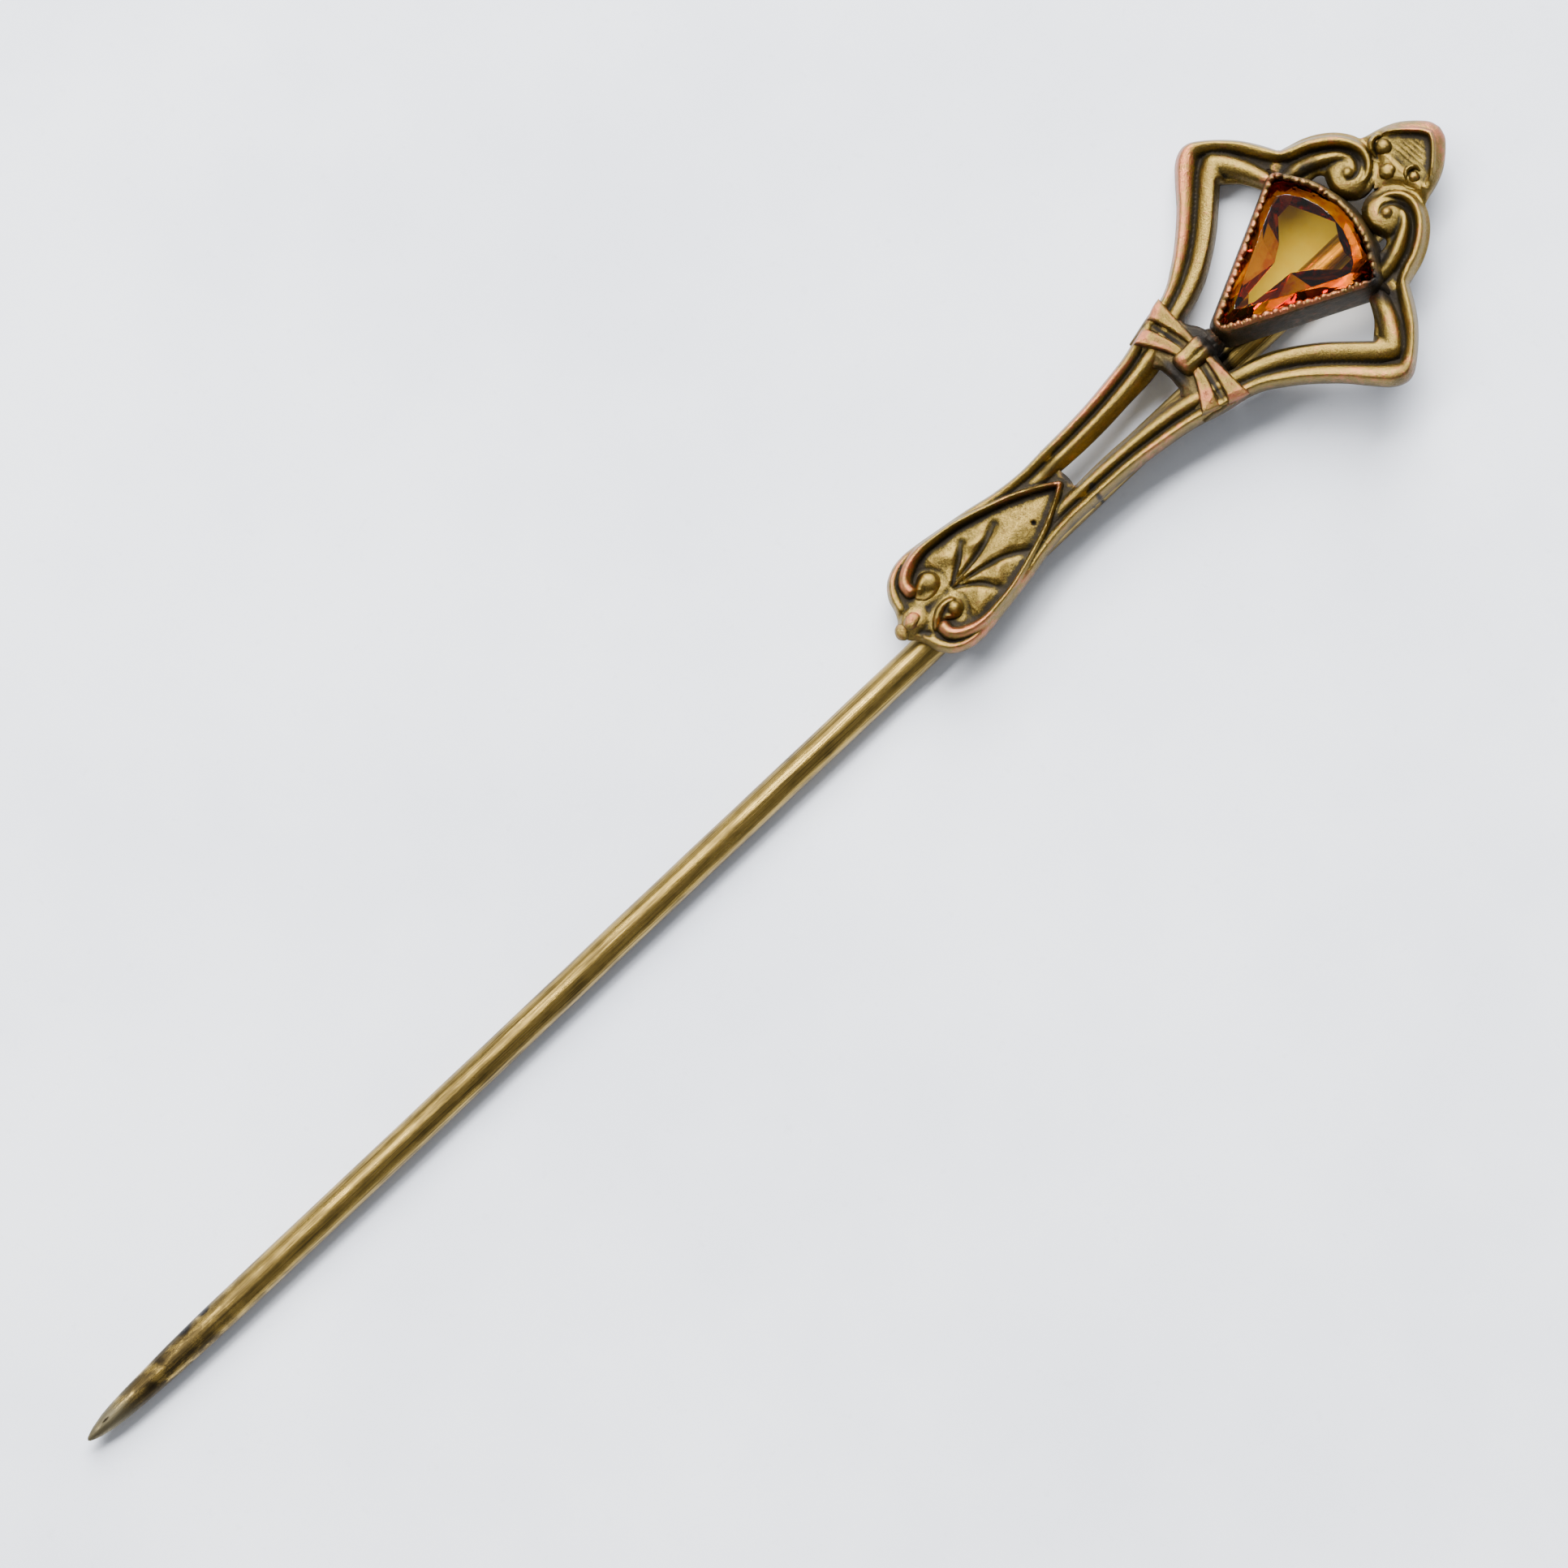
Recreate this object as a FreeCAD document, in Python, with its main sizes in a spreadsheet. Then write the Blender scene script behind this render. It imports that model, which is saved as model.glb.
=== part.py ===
import FreeCAD, Part
import math
import os

# Stick pin: a wire stem with an ornamental head soldered on its upper end.
# Millimetres. +Y runs up the stem towards the crest, +Z out of the head's front, Z = 0 is the table.
# The head is drawn in a frame of its own: its origin is on the head's mid-plane, level with the
# shoulders, at the height of the head's flat back.

V = FreeCAD.Vector

doc = FreeCAD.newDocument("HatPin")

SIZES = (
    ("stem_radius", 0.525, "radius of the stem's wire"),
    ("stem_x", 0.70, "how far the stem's axis is right of the head's mid-plane"),
    ("stem_top", 27.20, "upper end of the stem, hidden behind the volutes"),
    ("tang_radius", 0.505, "radius of the stem's upper end, filed down for soldering"),
    ("tang_foot", 5.50, "where the filing starts, just under the head"),
    ("taper_top", -25.20, "where the stem starts to narrow"),
    ("point_y", -30.10, "the point"),
    ("shoulder_y", 23.75, "level of the shoulders"),
    ("head_back", 1.08, "height of the head's flat back, a film of solder over the stem"),
    ("rail_high", 0.80, "height of the rails over the head's back"),
    ("rail_round", 0.20, "rounding of the rails' ridges"),
    ("reed_wide", 0.22, "width of the groove between the two reeds"),
    ("reed_deep", 0.30, "depth of that groove"),
    ("scroll_high", 0.88, "height of the C-scrolls"),
    ("eye_radius", 0.20, "radius of the volutes' eyes"),
    ("eye_high", 0.08, "how far the eyes stand up"),
    ("crest_high", 0.78, "height of the crest plaque"),
    ("crest_dish", 0.14, "depth of the crest's hatched panel"),
    ("bow_seat", 0.50, "height to which the rails are cut down under the bow"),
    ("bow_thick", 0.20, "thickness of the bow's backing plate"),
    ("loop_high", 0.45, "height of the ribbon flaps over the plate"),
    ("knot_high", 0.62, "height of the knot over the plate"),
    ("leaf_high", 0.72, "height of the leaf plaque"),
    ("leaf_dish", 0.18, "depth of the leaf's panel"),
    ("collet_high", 1.42, "height of the collet's wall"),
    ("collet_flare", 9.5, "lean of the collet's wall, degrees"),
    ("wall_out", 0.26, "how far the wall's foot stands out from the stone's kite"),
    ("wall_in", 0.17, "how far the wall's bore lies inside the kite"),
    ("seat_in", 0.42, "how far the ledge's hole lies inside the kite"),
    ("rim_out", 0.02, "how far the rim's outside lies outside the kite"),
    ("rim_in", 0.26, "how far the rim's inside lies inside the kite"),
    ("collet_gap", 0.28, "how far the rails and scrolls are cut back from the kite"),
    ("seat_low", 0.72, "height of the bearing ledge"),
    ("seat_thick", 0.25, "thickness of the bearing ledge"),
    ("rim_high", 0.26, "height of the milgrained rim"),
    ("girdle_high", 0.97, "height of the stone's girdle, on the ledge"),
    ("girdle_thick", 0.30, "thickness of the girdle"),
    ("crown_high", 0.58, "height of the stone's crown over the girdle"),
    ("pavilion_deep", 0.85, "depth of the stone under the girdle"),
    ("curl_radius", 0.40, "radius of the crest's button curls"),
    ("curl_high", 0.16, "height of the curls' rings"),
    ("button_radius", 0.21, "radius of the curls' buttons"),
    ("volute_radius", 0.50, "radius of the leaf's volutes"),
    ("volute_eye", 0.20, "radius of those volutes' eyes"),
    ("volute_ring", 0.16, "height of their rings"),
    ("volute_high", 0.30, "height of their eyes"),
    ("grain_radius", 0.25, "radius of the grains"),
    ("drop_radius", 0.32, "radius of the drops of solder at the collet's corners"),
    ("solder_wide", 1.16, "width of the solder under the head"),
    ("solder_deep", 0.44, "how far that solder comes down the stem"),
)

sizes = doc.addObject("Spreadsheet::Sheet", "Sizes")
for row, (alias, value, meaning) in enumerate(SIZES, start=1):
    sizes.set(f"A{row}", meaning)
    sizes.set(f"B{row}", str(value))
    sizes.setAlias(f"B{row}", alias)
doc.recompute()


def size(alias):
    return float(sizes.get(alias))


# ---------------------------------------------------------------- drawing helpers


def mirrored(corners):
    """The same corners on the other side of the mid-plane, run the other way round."""
    return [(-x, y, r) for x, y, r in reversed(corners)]


def sharp(points):
    return [(x, y, 0) for x, y in points]


def rounded(corners):
    """A closed outline: straight runs joined by tangent arcs. Each corner is (x, y, radius)."""
    count = len(corners)
    leave = []
    arrive = []
    arcs = []
    for i, (x, y, radius) in enumerate(corners):
        here = V(x, y, 0)
        before = V(*corners[i - 1][:2], 0) - here
        after = V(*corners[(i + 1) % count][:2], 0) - here
        half = before.getAngle(after) / 2
        longest = 0.49 * min(before.Length, after.Length)
        reach = min(radius / math.tan(half), longest) if radius else 0
        before.normalize()
        after.normalize()
        start = here + before * reach
        end = here + after * reach
        arrive.append(start)
        leave.append(end)
        if reach:
            bend = reach * math.tan(half)
            towards = (before + after).normalize()
            middle = here + towards * (bend / math.sin(half) - bend)
            arcs.append(Part.Arc(start, middle, end))
    lines = []
    for i in range(count):
        onward = arrive[(i + 1) % count]
        if (onward - leave[i]).Length > 1e-6:
            lines.append(Part.LineSegment(leave[i], onward))
    return lines + arcs


def band(line, width):
    """Corners of a strip of even width along a line of points, mitred at the bends."""
    points = [V(x, y, 0) for x, y in line]
    there = []
    back = []
    for i, point in enumerate(points):
        onward = points[min(i + 1, len(points) - 1)] - points[max(i, 1) - 1]
        run = points[max(i, 1)] - points[max(i, 1) - 1]
        if 0 < i < len(points) - 1:
            into = (point - points[i - 1]).normalize()
            out = (points[i + 1] - point).normalize()
            onward = into + out
            run = into
        onward.normalize()
        run.normalize()
        aside = V(-onward.y, onward.x, 0)
        step = aside * (width / 2 / aside.dot(V(-run.y, run.x, 0)))
        there.append((point.x + step.x, point.y + step.y))
        back.append((point.x - step.x, point.y - step.y))
    return sharp(there + back[::-1])


# ---------------------------------------------------------------- feature helpers


def head_body(label):
    """A body in the head's frame."""
    body = doc.addObject("PartDesign::Body", label)
    body.setExpression("Placement.Base.y", "Sizes.shoulder_y")
    body.setExpression("Placement.Base.z", "Sizes.head_back")
    return body


def sketch(body, name, geometry, role="XY_Plane", lift=None):
    drawn = body.newObject("Sketcher::SketchObject", name)
    origin_plane = next(f for f in body.Origin.OriginFeatures if f.Role == role)
    drawn.AttachmentSupport = (origin_plane, [""])
    drawn.MapMode = "FlatFace"
    if lift:
        drawn.setExpression("AttachmentOffset.Base.z", lift)
    drawn.addGeometry(geometry, False)
    return drawn


def pad(body, name, geometry, length, lift=None, lean=None):
    """Pads an outline upwards by a sheet expression, from a sheet expression's height."""
    feature = body.newObject("PartDesign::Pad", name)
    feature.Profile = sketch(body, name + "_outline", geometry, lift=lift)
    feature.setExpression("Length", length)
    if lean:
        feature.setExpression("TaperAngle", lean)
    doc.recompute()
    return feature


def pocket(body, name, geometry, length, lift):
    """Cuts an outline downwards from a height."""
    feature = body.newObject("PartDesign::Pocket", name)
    feature.Profile = sketch(body, name + "_outline", geometry, lift=lift)
    feature.setExpression("Length", length)
    before = body.Shape.Volume
    doc.recompute()
    if body.Shape.Volume > before - 1e-6:
        raise RuntimeError(name + " cuts nothing")
    return feature


def soften(body, name, height, radius, keep=None):
    """Rounds the edges that lie flat at a height, in the body's frame."""
    tip = body.Tip
    edges = []
    for i, edge in enumerate(tip.Shape.Edges, start=1):
        box = edge.BoundBox
        if abs(box.ZMin - height) > 1e-4 or abs(box.ZMax - height) > 1e-4:
            continue
        if keep and not keep(edge.CenterOfMass):
            continue
        edges.append(f"Edge{i}")
    feature = body.newObject("PartDesign::Fillet", name)
    feature.Base = (tip, edges)
    feature.setExpression("Radius", radius)
    doc.recompute()
    return feature


def turned(label, x, y, lift, profile):
    """A boss turned about an upright axis. The profile is (radius, height, rounding) corners."""
    body = doc.addObject("PartDesign::Body", label)
    body.Placement.Base = V(x, y + size("shoulder_y"), size("head_back"))
    body.setExpression("Placement.Base.z", "Sizes.head_back + " + lift)
    spin = body.newObject("PartDesign::Revolution", label + "_turn")
    drawn = sketch(body, label + "_profile", rounded(profile), role="XZ_Plane")
    spin.Profile = drawn
    spin.ReferenceAxis = (drawn, ["V_Axis"])
    spin.Angle = 360
    doc.recompute()
    return body


def sides(build, *corner_lists):
    """Builds a right-hand piece and its mirror image on the left."""
    build("right", *corner_lists)
    build("left", *[mirrored(corners) for corners in corner_lists])


# ---------------------------------------------------------------- stem

stem = doc.addObject("PartDesign::Body", "stem")
stem.setExpression("Placement.Base.x", "Sizes.stem_x")
stem.setExpression("Placement.Base.z", "Sizes.stem_radius")

radius = size("stem_radius")
tang = size("tang_radius")
foot = size("tang_foot")
top = size("stem_top")
taper_top = size("taper_top")
point = size("point_y")
nose = Part.BSplineCurve()
nose.interpolate(
    [
        V(radius, taper_top, 0),
        V(0.93 * radius, point + 3.9, 0),
        V(0.75 * radius, point + 1.9, 0),
        V(0.48 * radius, point + 0.9, 0),
        V(0.03, point, 0),
    ]
)
half_section = [
    Part.LineSegment(V(0, top, 0), V(tang, top, 0)),
    Part.LineSegment(V(tang, top, 0), V(radius, foot, 0)),
    Part.LineSegment(V(radius, foot, 0), V(radius, taper_top, 0)),
    nose,
    Part.LineSegment(V(0.03, point, 0), V(0, point, 0)),
    Part.LineSegment(V(0, point, 0), V(0, top, 0)),
]
wire = stem.newObject("PartDesign::Revolution", "stem_turn")
stem_profile = sketch(stem, "stem_profile", half_section)
wire.Profile = stem_profile
wire.ReferenceAxis = (stem_profile, ["V_Axis"])
wire.Angle = 360
doc.recompute()

# ---------------------------------------------------------------- collet outline (used by its neighbours)

# Half of the stone's kite: tip at the bottom, a corner at each shoulder, a low arc on top.
KITE = [(0.0, -3.78), (2.52, 1.38), (1.35, 2.12)]
KITE_ROUND = (0.36, 0.30, 1.8)
TOP_ARC = (0.0, 2.44, 3.0)


def kite(grow):
    """The kite's outline moved outwards by a distance."""
    slope = math.atan2(KITE[1][1] - KITE[0][1], KITE[1][0] - KITE[0][0])
    tip = KITE[0][1] - grow / math.cos(slope)
    corner_x = KITE[1][0] + grow * 1.05
    corner_y = KITE[1][1] + grow * 0.25
    high = TOP_ARC[1] + grow
    right = [
        (corner_x, corner_y, max(KITE_ROUND[1] + grow, 0.05)),
        (KITE[2][0] + 0.35 * grow, KITE[2][1] + grow * 0.95, KITE_ROUND[2]),
    ]
    bottom = [(0.0, tip, max(KITE_ROUND[0] + grow, 0.05))]
    return bottom + right + [(0.0, high, TOP_ARC[2])] + mirrored(right)


# ---------------------------------------------------------------- rails

RAIL_OUTER = [
    (3.05, 2.12, 0),
    (4.42, 1.32, 2.5),
    (5.36, 0.03, 0.30),
    (4.10, -1.40, 3.0),
    (2.34, -3.46, 2.5),
    (1.48, -7.10, 5.0),
    (1.25, -10.0, 0),
]
RAIL_INNER = [
    (0.32, -10.0, 0),
    (0.30, -8.30, 4.0),
    (0.52, -5.50, 3.0),
    (1.18, -3.55, 3.0),
    (2.00, -1.74, 3.0),
    (3.58, 0.05, 0),
    (3.02, 0.62, 0.6),
    (2.20, 0.98, 0),
]
REED = [
    (0.80, -10.1),
    (0.88, -8.0),
    (1.06, -6.0),
    (1.75, -3.6),
    (2.35, -2.4),
    (3.40, -1.1),
    (4.50, 0.18),
    (3.55, 1.14),
    (2.40, 1.74),
]
BOW_TOP = -3.95
BOW_FOOT = -5.72


def rail(side, outline, reed):
    body = head_body("rail_" + side)
    pad(body, f"rail_{side}_bar", rounded(outline), "Sizes.rail_high")
    soften(body, f"rail_{side}_ridge", size("rail_high"), "Sizes.rail_round", keep=lambda c: c.y > -9.9)
    pocket(body, f"rail_{side}_reed", rounded(reed), "Sizes.reed_deep", "Sizes.rail_high")
    seat = sharp([(-3, BOW_FOOT), (3, BOW_FOOT), (3, BOW_TOP), (-3, BOW_TOP)])
    pocket(body, f"rail_{side}_seat", rounded(seat), "Sizes.rail_high - Sizes.bow_seat", "Sizes.rail_high")
    room = rounded(kite(size("collet_gap")))
    pocket(body, f"rail_{side}_collet", room, "Sizes.rail_high", "Sizes.rail_high")


sides(rail, RAIL_OUTER + RAIL_INNER, band(REED, size("reed_wide")))

# ---------------------------------------------------------------- C-scrolls

# The edge a scroll shares with the crest plaque, from the outside to the mid-plane.
SHARED = sharp([(1.52, 4.28), (1.00, 4.30), (0.46, 4.06), (0.10, 3.62)])
SCROLL = (
    [(2.20, 0.98, 0), (3.05, 2.12, 0), (2.78, 2.98, 2.0), (2.18, 3.96, 1.2)]
    + SHARED
    + [(0.02, 3.10, 0.3), (0.28, 2.52, 0.4), (1.00, 2.38, 0.4), (1.40, 2.62, 0.1)]
    + [(1.85, 2.40, 0.3)]
)
VOLUTE_EYE = (0.80, 3.18)


def scroll(side, outline):
    body = head_body("scroll_" + side)
    pad(body, f"scroll_{side}_bar", rounded(outline), "Sizes.scroll_high")
    soften(body, f"scroll_{side}_ridge", size("scroll_high"), "Sizes.rail_round / 2")
    room = rounded(kite(size("collet_gap")))
    pocket(body, f"scroll_{side}_collet", room, "Sizes.scroll_high", "Sizes.scroll_high")
    way = 1 if side == "right" else -1
    eye = V(way * VOLUTE_EYE[0], VOLUTE_EYE[1], 0)
    button = [Part.Circle(eye, V(0, 0, 1), size("eye_radius"))]
    pad(body, f"scroll_{side}_eye", button, "Sizes.eye_high", lift="Sizes.scroll_high")


sides(scroll, SCROLL)

# ---------------------------------------------------------------- crest

CREST_SIDE = [(1.46, 4.50, 0.2), (1.26, 5.25, 1.0), (0.72, 5.95, 1.0)]
crest = head_body("crest_plate")
crest_half = CREST_SIDE[::-1] + SHARED
crest_outline = [(0.0, 6.42, 0.35)] + crest_half + mirrored(crest_half)
pad(crest, "crest_bar", rounded(crest_outline), "Sizes.crest_high")
soften(crest, "crest_round", size("crest_high"), "Sizes.rail_round / 2", keep=lambda c: c.y > 4.35)
panel = [(0.0, 5.82, 0.2), (0.92, 4.98, 0.1), (-0.92, 4.98, 0.1)]
pocket(crest, "crest_panel", rounded(panel), "Sizes.crest_dish", "Sizes.crest_high")

CURL_X, CURL_Y = 0.71, 4.57


def button_profile():
    ring = size("curl_radius")
    high = size("curl_high")
    button = size("button_radius")
    return [
        (0.0, 0.0, 0),
        (ring, 0.0, 0),
        (ring, high, 0.07),
        (button + 0.04, high, 0.03),
        (button, 0.06, 0),
        (button, high + 0.08, 0.09),
        (0.0, high + 0.08, 0),
    ]


for side, way in (("right", 1), ("left", -1)):
    turned("crest_curl_" + side, way * CURL_X, CURL_Y, "Sizes.crest_high", button_profile())

# ---------------------------------------------------------------- bow

bow = head_body("bow_plate")
bow_half = [(0.50, -5.42, 0.2), (0.62, BOW_FOOT, 0), (1.72, BOW_FOOT, 0), (2.10, BOW_TOP, 0)]
pad(bow, "bow_backing", rounded(bow_half + mirrored(bow_half)), "Sizes.bow_thick", lift="Sizes.bow_seat")

LOOP = [(0.38, -4.24, 0), (0.38, -3.98, 0), (2.10, BOW_TOP, 0.1), (1.86, -4.66, 0.1), (1.25, -4.40, 0.8)]
TAIL = [(0.38, -4.56, 0), (0.38, -4.84, 0), (0.90, -5.12, 0.8), (1.52, -5.58, 0.1), (1.74, -4.97, 0.1)]
TAIL_TOP = [(1.10, -4.68, 0.8)]


def ribbon(side, loop, tail):
    for name, outline in (("bow_loop_", loop), ("bow_tail_", tail)):
        body = head_body(name + side)
        height = "Sizes.bow_seat + Sizes.bow_thick"
        pad(body, name + side + "_flap", rounded(outline), "Sizes.loop_high", lift=height)
        level = size("bow_seat") + size("bow_thick") + size("loop_high")
        soften(body, name + side + "_round", level, "Sizes.rail_round / 2", keep=lambda c: abs(c.x) > 0.4)


sides(ribbon, LOOP, TAIL + TAIL_TOP)

knot = head_body("bow_knot")
knot_outline = [(-0.38, -5.02, 0.08), (0.38, -5.02, 0.08), (0.38, -3.84, 0.08), (-0.38, -3.84, 0.08)]
pad(knot, "knot_bar", rounded(knot_outline), "Sizes.knot_high", lift="Sizes.bow_seat + Sizes.bow_thick")
knot_level = size("bow_seat") + size("bow_thick") + size("knot_high")
soften(knot, "knot_round", knot_level, "Sizes.rail_round * 1.4")

# ---------------------------------------------------------------- leaf

LEAF_SIDE = [
    (1.25, -10.0, 0),
    (1.20, -11.2, 3.0),
    (1.60, -13.3, 6.0),
    (1.96, -15.4, 1.6),
    (1.62, -16.9, 0.9),
    (0.28, -17.0, 0),
]
PANEL_SIDE = [(0.62, -11.5, 0.8), (1.10, -12.9, 2.0), (1.34, -14.9, 0.25), (0.10, -14.98, 0)]
leaf = head_body("leaf_plaque")
pad(leaf, "leaf_bar", rounded(LEAF_SIDE + mirrored(LEAF_SIDE)), "Sizes.leaf_high")
soften(leaf, "leaf_round", size("leaf_high"), "Sizes.rail_round", keep=lambda c: -16.95 < c.y < -10.1)
leaf_panel = [(0.0, -10.75, 0.15)] + PANEL_SIDE + mirrored(PANEL_SIDE)
pocket(leaf, "leaf_panel", rounded(leaf_panel), "Sizes.leaf_dish", "Sizes.leaf_high")
midrib = band([(0.0, -14.96), (0.0, -12.2)], 0.10)
pad(leaf, "leaf_midrib", rounded(midrib), "Sizes.leaf_dish * 0.6", lift="Sizes.leaf_high - Sizes.leaf_dish")

VOLUTE_X, VOLUTE_Y = 0.58, -15.64
volute = size("volute_radius")
volute_ring = size("volute_ring")
volute_eye = size("volute_eye")
volute_high = size("volute_high")
volute_profile = [
    (0.0, 0.0, 0),
    (volute, 0.0, 0),
    (volute, volute_ring, 0.1),
    (volute_eye + 0.06, volute_ring, 0),
    (volute_eye, volute_high, 0.1),
    (0.0, volute_high, 0),
]
for side, way in (("right", 1), ("left", -1)):
    turned("leaf_scroll_" + side, way * VOLUTE_X, VOLUTE_Y, "Sizes.leaf_high", volute_profile)

# ---------------------------------------------------------------- grains


def grain(label, y, lift, lowest=0.0):
    """A bead melted on to the work, flat where it sits. lowest is its latitude of seating."""
    ball = doc.addObject("Part::Sphere", label)
    ball.setExpression("Radius", "Sizes.grain_radius")
    ball.Angle1 = lowest
    ball.Placement.Base = V(0, y + size("shoulder_y"), 0)
    ball.setExpression("Placement.Base.z", "Sizes.head_back + " + lift)
    return ball


grain("crest_bead", 4.16, "Sizes.crest_high")
grain("leaf_bead", -16.66, "Sizes.leaf_high")
tail_ball = grain("tail_ball", -17.18, "Sizes.leaf_high / 2", lowest=-90)
tail_bead = doc.addObject("Part::Cut", "tail_bead")
tail_bead.Base = tail_ball
tail_bead.Tool = leaf

# ---------------------------------------------------------------- collet, ledge, rim

collet = head_body("bezel_wall")
pad(collet, "collet_cone", rounded(kite(size("wall_out"))), "Sizes.collet_high", lean="-Sizes.collet_flare")
pocket(collet, "collet_bore", rounded(kite(-size("wall_in"))), "Sizes.collet_high", "Sizes.collet_high")

seat = head_body("bezel_seat")
pad(seat, "seat_ring", rounded(kite(-size("wall_in"))), "Sizes.seat_thick", lift="Sizes.seat_low")
pocket(
    seat,
    "seat_hole",
    rounded(kite(-size("seat_in"))),
    "Sizes.seat_thick",
    "Sizes.seat_low + Sizes.seat_thick",
)

rim = head_body("bezel_rim")
pad(rim, "rim_ring", rounded(kite(size("rim_out"))), "Sizes.rim_high", lift="Sizes.collet_high")
rim_inside = rounded(kite(-size("rim_in")))
pocket(rim, "rim_hole", rim_inside, "Sizes.rim_high", "Sizes.collet_high + Sizes.rim_high")
soften(rim, "rim_round", size("collet_high") + size("rim_high"), "Sizes.rim_high / 2.5")

# ---------------------------------------------------------------- stone


def facets(scale):
    """The stone's ten-sided outline, shrunk about a point just over the middle."""
    middle = V(0.0, 0.30, 0)
    right = [(0.08, -3.10), (2.13, 1.00), (2.08, 1.36), (1.22, 1.88), (0.42, 2.12)]
    points = right + [(-x, y) for x, y in reversed(right)]
    return [(middle.x + (x - middle.x) * scale, middle.y + (y - middle.y) * scale) for x, y in points]


stone = head_body("stone")
girdle = pad(stone, "girdle", rounded(sharp(facets(1.0))), "Sizes.girdle_thick", lift="Sizes.girdle_high")


def loft(name, low, low_scale, high, high_scale):
    feature = stone.newObject("PartDesign::AdditiveLoft", name)
    feature.Profile = sketch(stone, name + "_from", rounded(sharp(facets(low_scale))), lift=low)
    feature.Sections = [sketch(stone, name + "_to", rounded(sharp(facets(high_scale))), lift=high)]
    feature.Ruled = True
    doc.recompute()


crown_foot = "Sizes.girdle_high + Sizes.girdle_thick"
loft("crown", crown_foot, 0.99, crown_foot + " + Sizes.crown_high", 0.66)
loft("pavilion", "Sizes.girdle_high - Sizes.pavilion_deep", 0.12, "Sizes.girdle_high", 0.82)

# ---------------------------------------------------------------- joints of solder


def block(name, low, high):
    """A block between two opposite corners, in the head's frame."""
    box = doc.addObject("Part::Box", name)
    box.Length = high[0] - low[0]
    box.Width = high[1] - low[1]
    box.Height = high[2] - low[2]
    box.Placement.Base = V(low[0], low[1] + size("shoulder_y"), low[2] + size("head_back"))
    return box


def trimmed(label, raw, neighbours):
    """A joint fills what its neighbours leave free."""
    shape = raw
    for i, neighbour in enumerate(neighbours):
        last = i + 1 == len(neighbours)
        cut = doc.addObject("Part::Cut", label if last else f"{label}_trim{i}")
        cut.Base = shape
        cut.Tool = neighbour
        shape = cut
    doc.recompute()
    return shape


rails = {side: doc.getObject("rail_" + side) for side in ("right", "left")}
scrolls = {side: doc.getObject("scroll_" + side) for side in ("right", "left")}

FOOT_LOW = (-0.45, BOW_TOP, 0.0)
FOOT_HIGH = (0.45, -3.30, 0.70)
trimmed("bezel_foot", block("foot_block", FOOT_LOW, FOOT_HIGH), [collet])

DROP_X, DROP_Y = 2.74, 1.24
DROP_HIGH = 1.0

for side, way in (("right", 1), ("left", -1)):
    drop = doc.addObject("Part::Cylinder", f"drop_{side}")
    drop.setExpression("Radius", "Sizes.drop_radius")
    drop.Height = DROP_HIGH
    drop.Placement.Base = V(way * DROP_X, DROP_Y + size("shoulder_y"), size("head_back"))
    trimmed("bezel_solder_" + side, drop, [rails[side], scrolls[side], collet])

half_wide = size("solder_wide") / 2
low = -size("solder_deep")
middle = size("stem_x")
# Each run of solder under the head: its lower and upper end.
RUNS = (("stem_solder_top", 2.62, 3.36), ("stem_solder_leaf", -16.40, -10.60))
for label, start, end in RUNS:
    raw = block(label + "_block", (middle - half_wide, start, low), (middle + half_wide, end, 0.0))
    trimmed(label, raw, [stem])

doc.recompute()

# ---------------------------------------------------------------- checks and files

NODES = (
    ["stem", "crest_plate", "crest_bead", "bow_plate", "bow_knot", "leaf_plaque", "leaf_bead", "tail_bead"]
    + ["bezel_wall", "bezel_seat", "bezel_rim", "stone", "bezel_foot", "stem_solder_top", "stem_solder_leaf"]
    + [
        pair + "_" + side
        for pair in ("rail", "scroll", "crest_curl", "bow_loop", "bow_tail", "leaf_scroll", "bezel_solder")
        for side in ("left", "right")
    ]
)

for thing in doc.Objects:
    bad = {"Invalid", "Error"} & set(thing.State)
    if bad:
        raise RuntimeError(f"{thing.Name}: {sorted(bad)}")

os.makedirs("parts", exist_ok=True)
for name in NODES:
    node = doc.getObject(name)
    if node.Shape.isNull() or not node.Shape.isValid() or len(node.Shape.Solids) != 1:
        raise RuntimeError(f"{name}: not one valid solid")
    node.Label = name
    node.Shape.exportStep(f"parts/{name}.step")
    print(name, round(node.Shape.Volume, 3))
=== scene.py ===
import math

import bmesh
import bpy
import numpy as np
from mathutils import Matrix, Vector
from mathutils.geometry import delaunay_2d_cdt


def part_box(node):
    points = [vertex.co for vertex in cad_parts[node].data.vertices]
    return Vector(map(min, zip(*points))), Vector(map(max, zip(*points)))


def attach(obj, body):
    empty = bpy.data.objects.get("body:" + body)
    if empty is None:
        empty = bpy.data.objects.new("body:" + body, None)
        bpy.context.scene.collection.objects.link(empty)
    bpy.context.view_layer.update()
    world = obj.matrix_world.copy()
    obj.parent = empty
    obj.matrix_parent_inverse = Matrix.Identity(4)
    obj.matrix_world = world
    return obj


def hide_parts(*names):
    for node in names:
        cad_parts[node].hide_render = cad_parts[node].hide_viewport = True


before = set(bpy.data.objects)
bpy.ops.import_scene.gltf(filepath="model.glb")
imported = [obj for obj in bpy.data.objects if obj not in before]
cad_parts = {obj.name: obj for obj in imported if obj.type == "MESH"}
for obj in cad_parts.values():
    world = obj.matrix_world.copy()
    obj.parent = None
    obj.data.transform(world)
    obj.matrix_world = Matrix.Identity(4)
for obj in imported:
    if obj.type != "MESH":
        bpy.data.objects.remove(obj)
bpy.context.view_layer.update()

# A worn gilt stick pin. Shapes are worked out in millimetres in the head's own frame: x across from
# the mid-plane, y up from the level of the shoulders, z up from the flat back. metres() puts them in
# the row frame.

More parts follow.
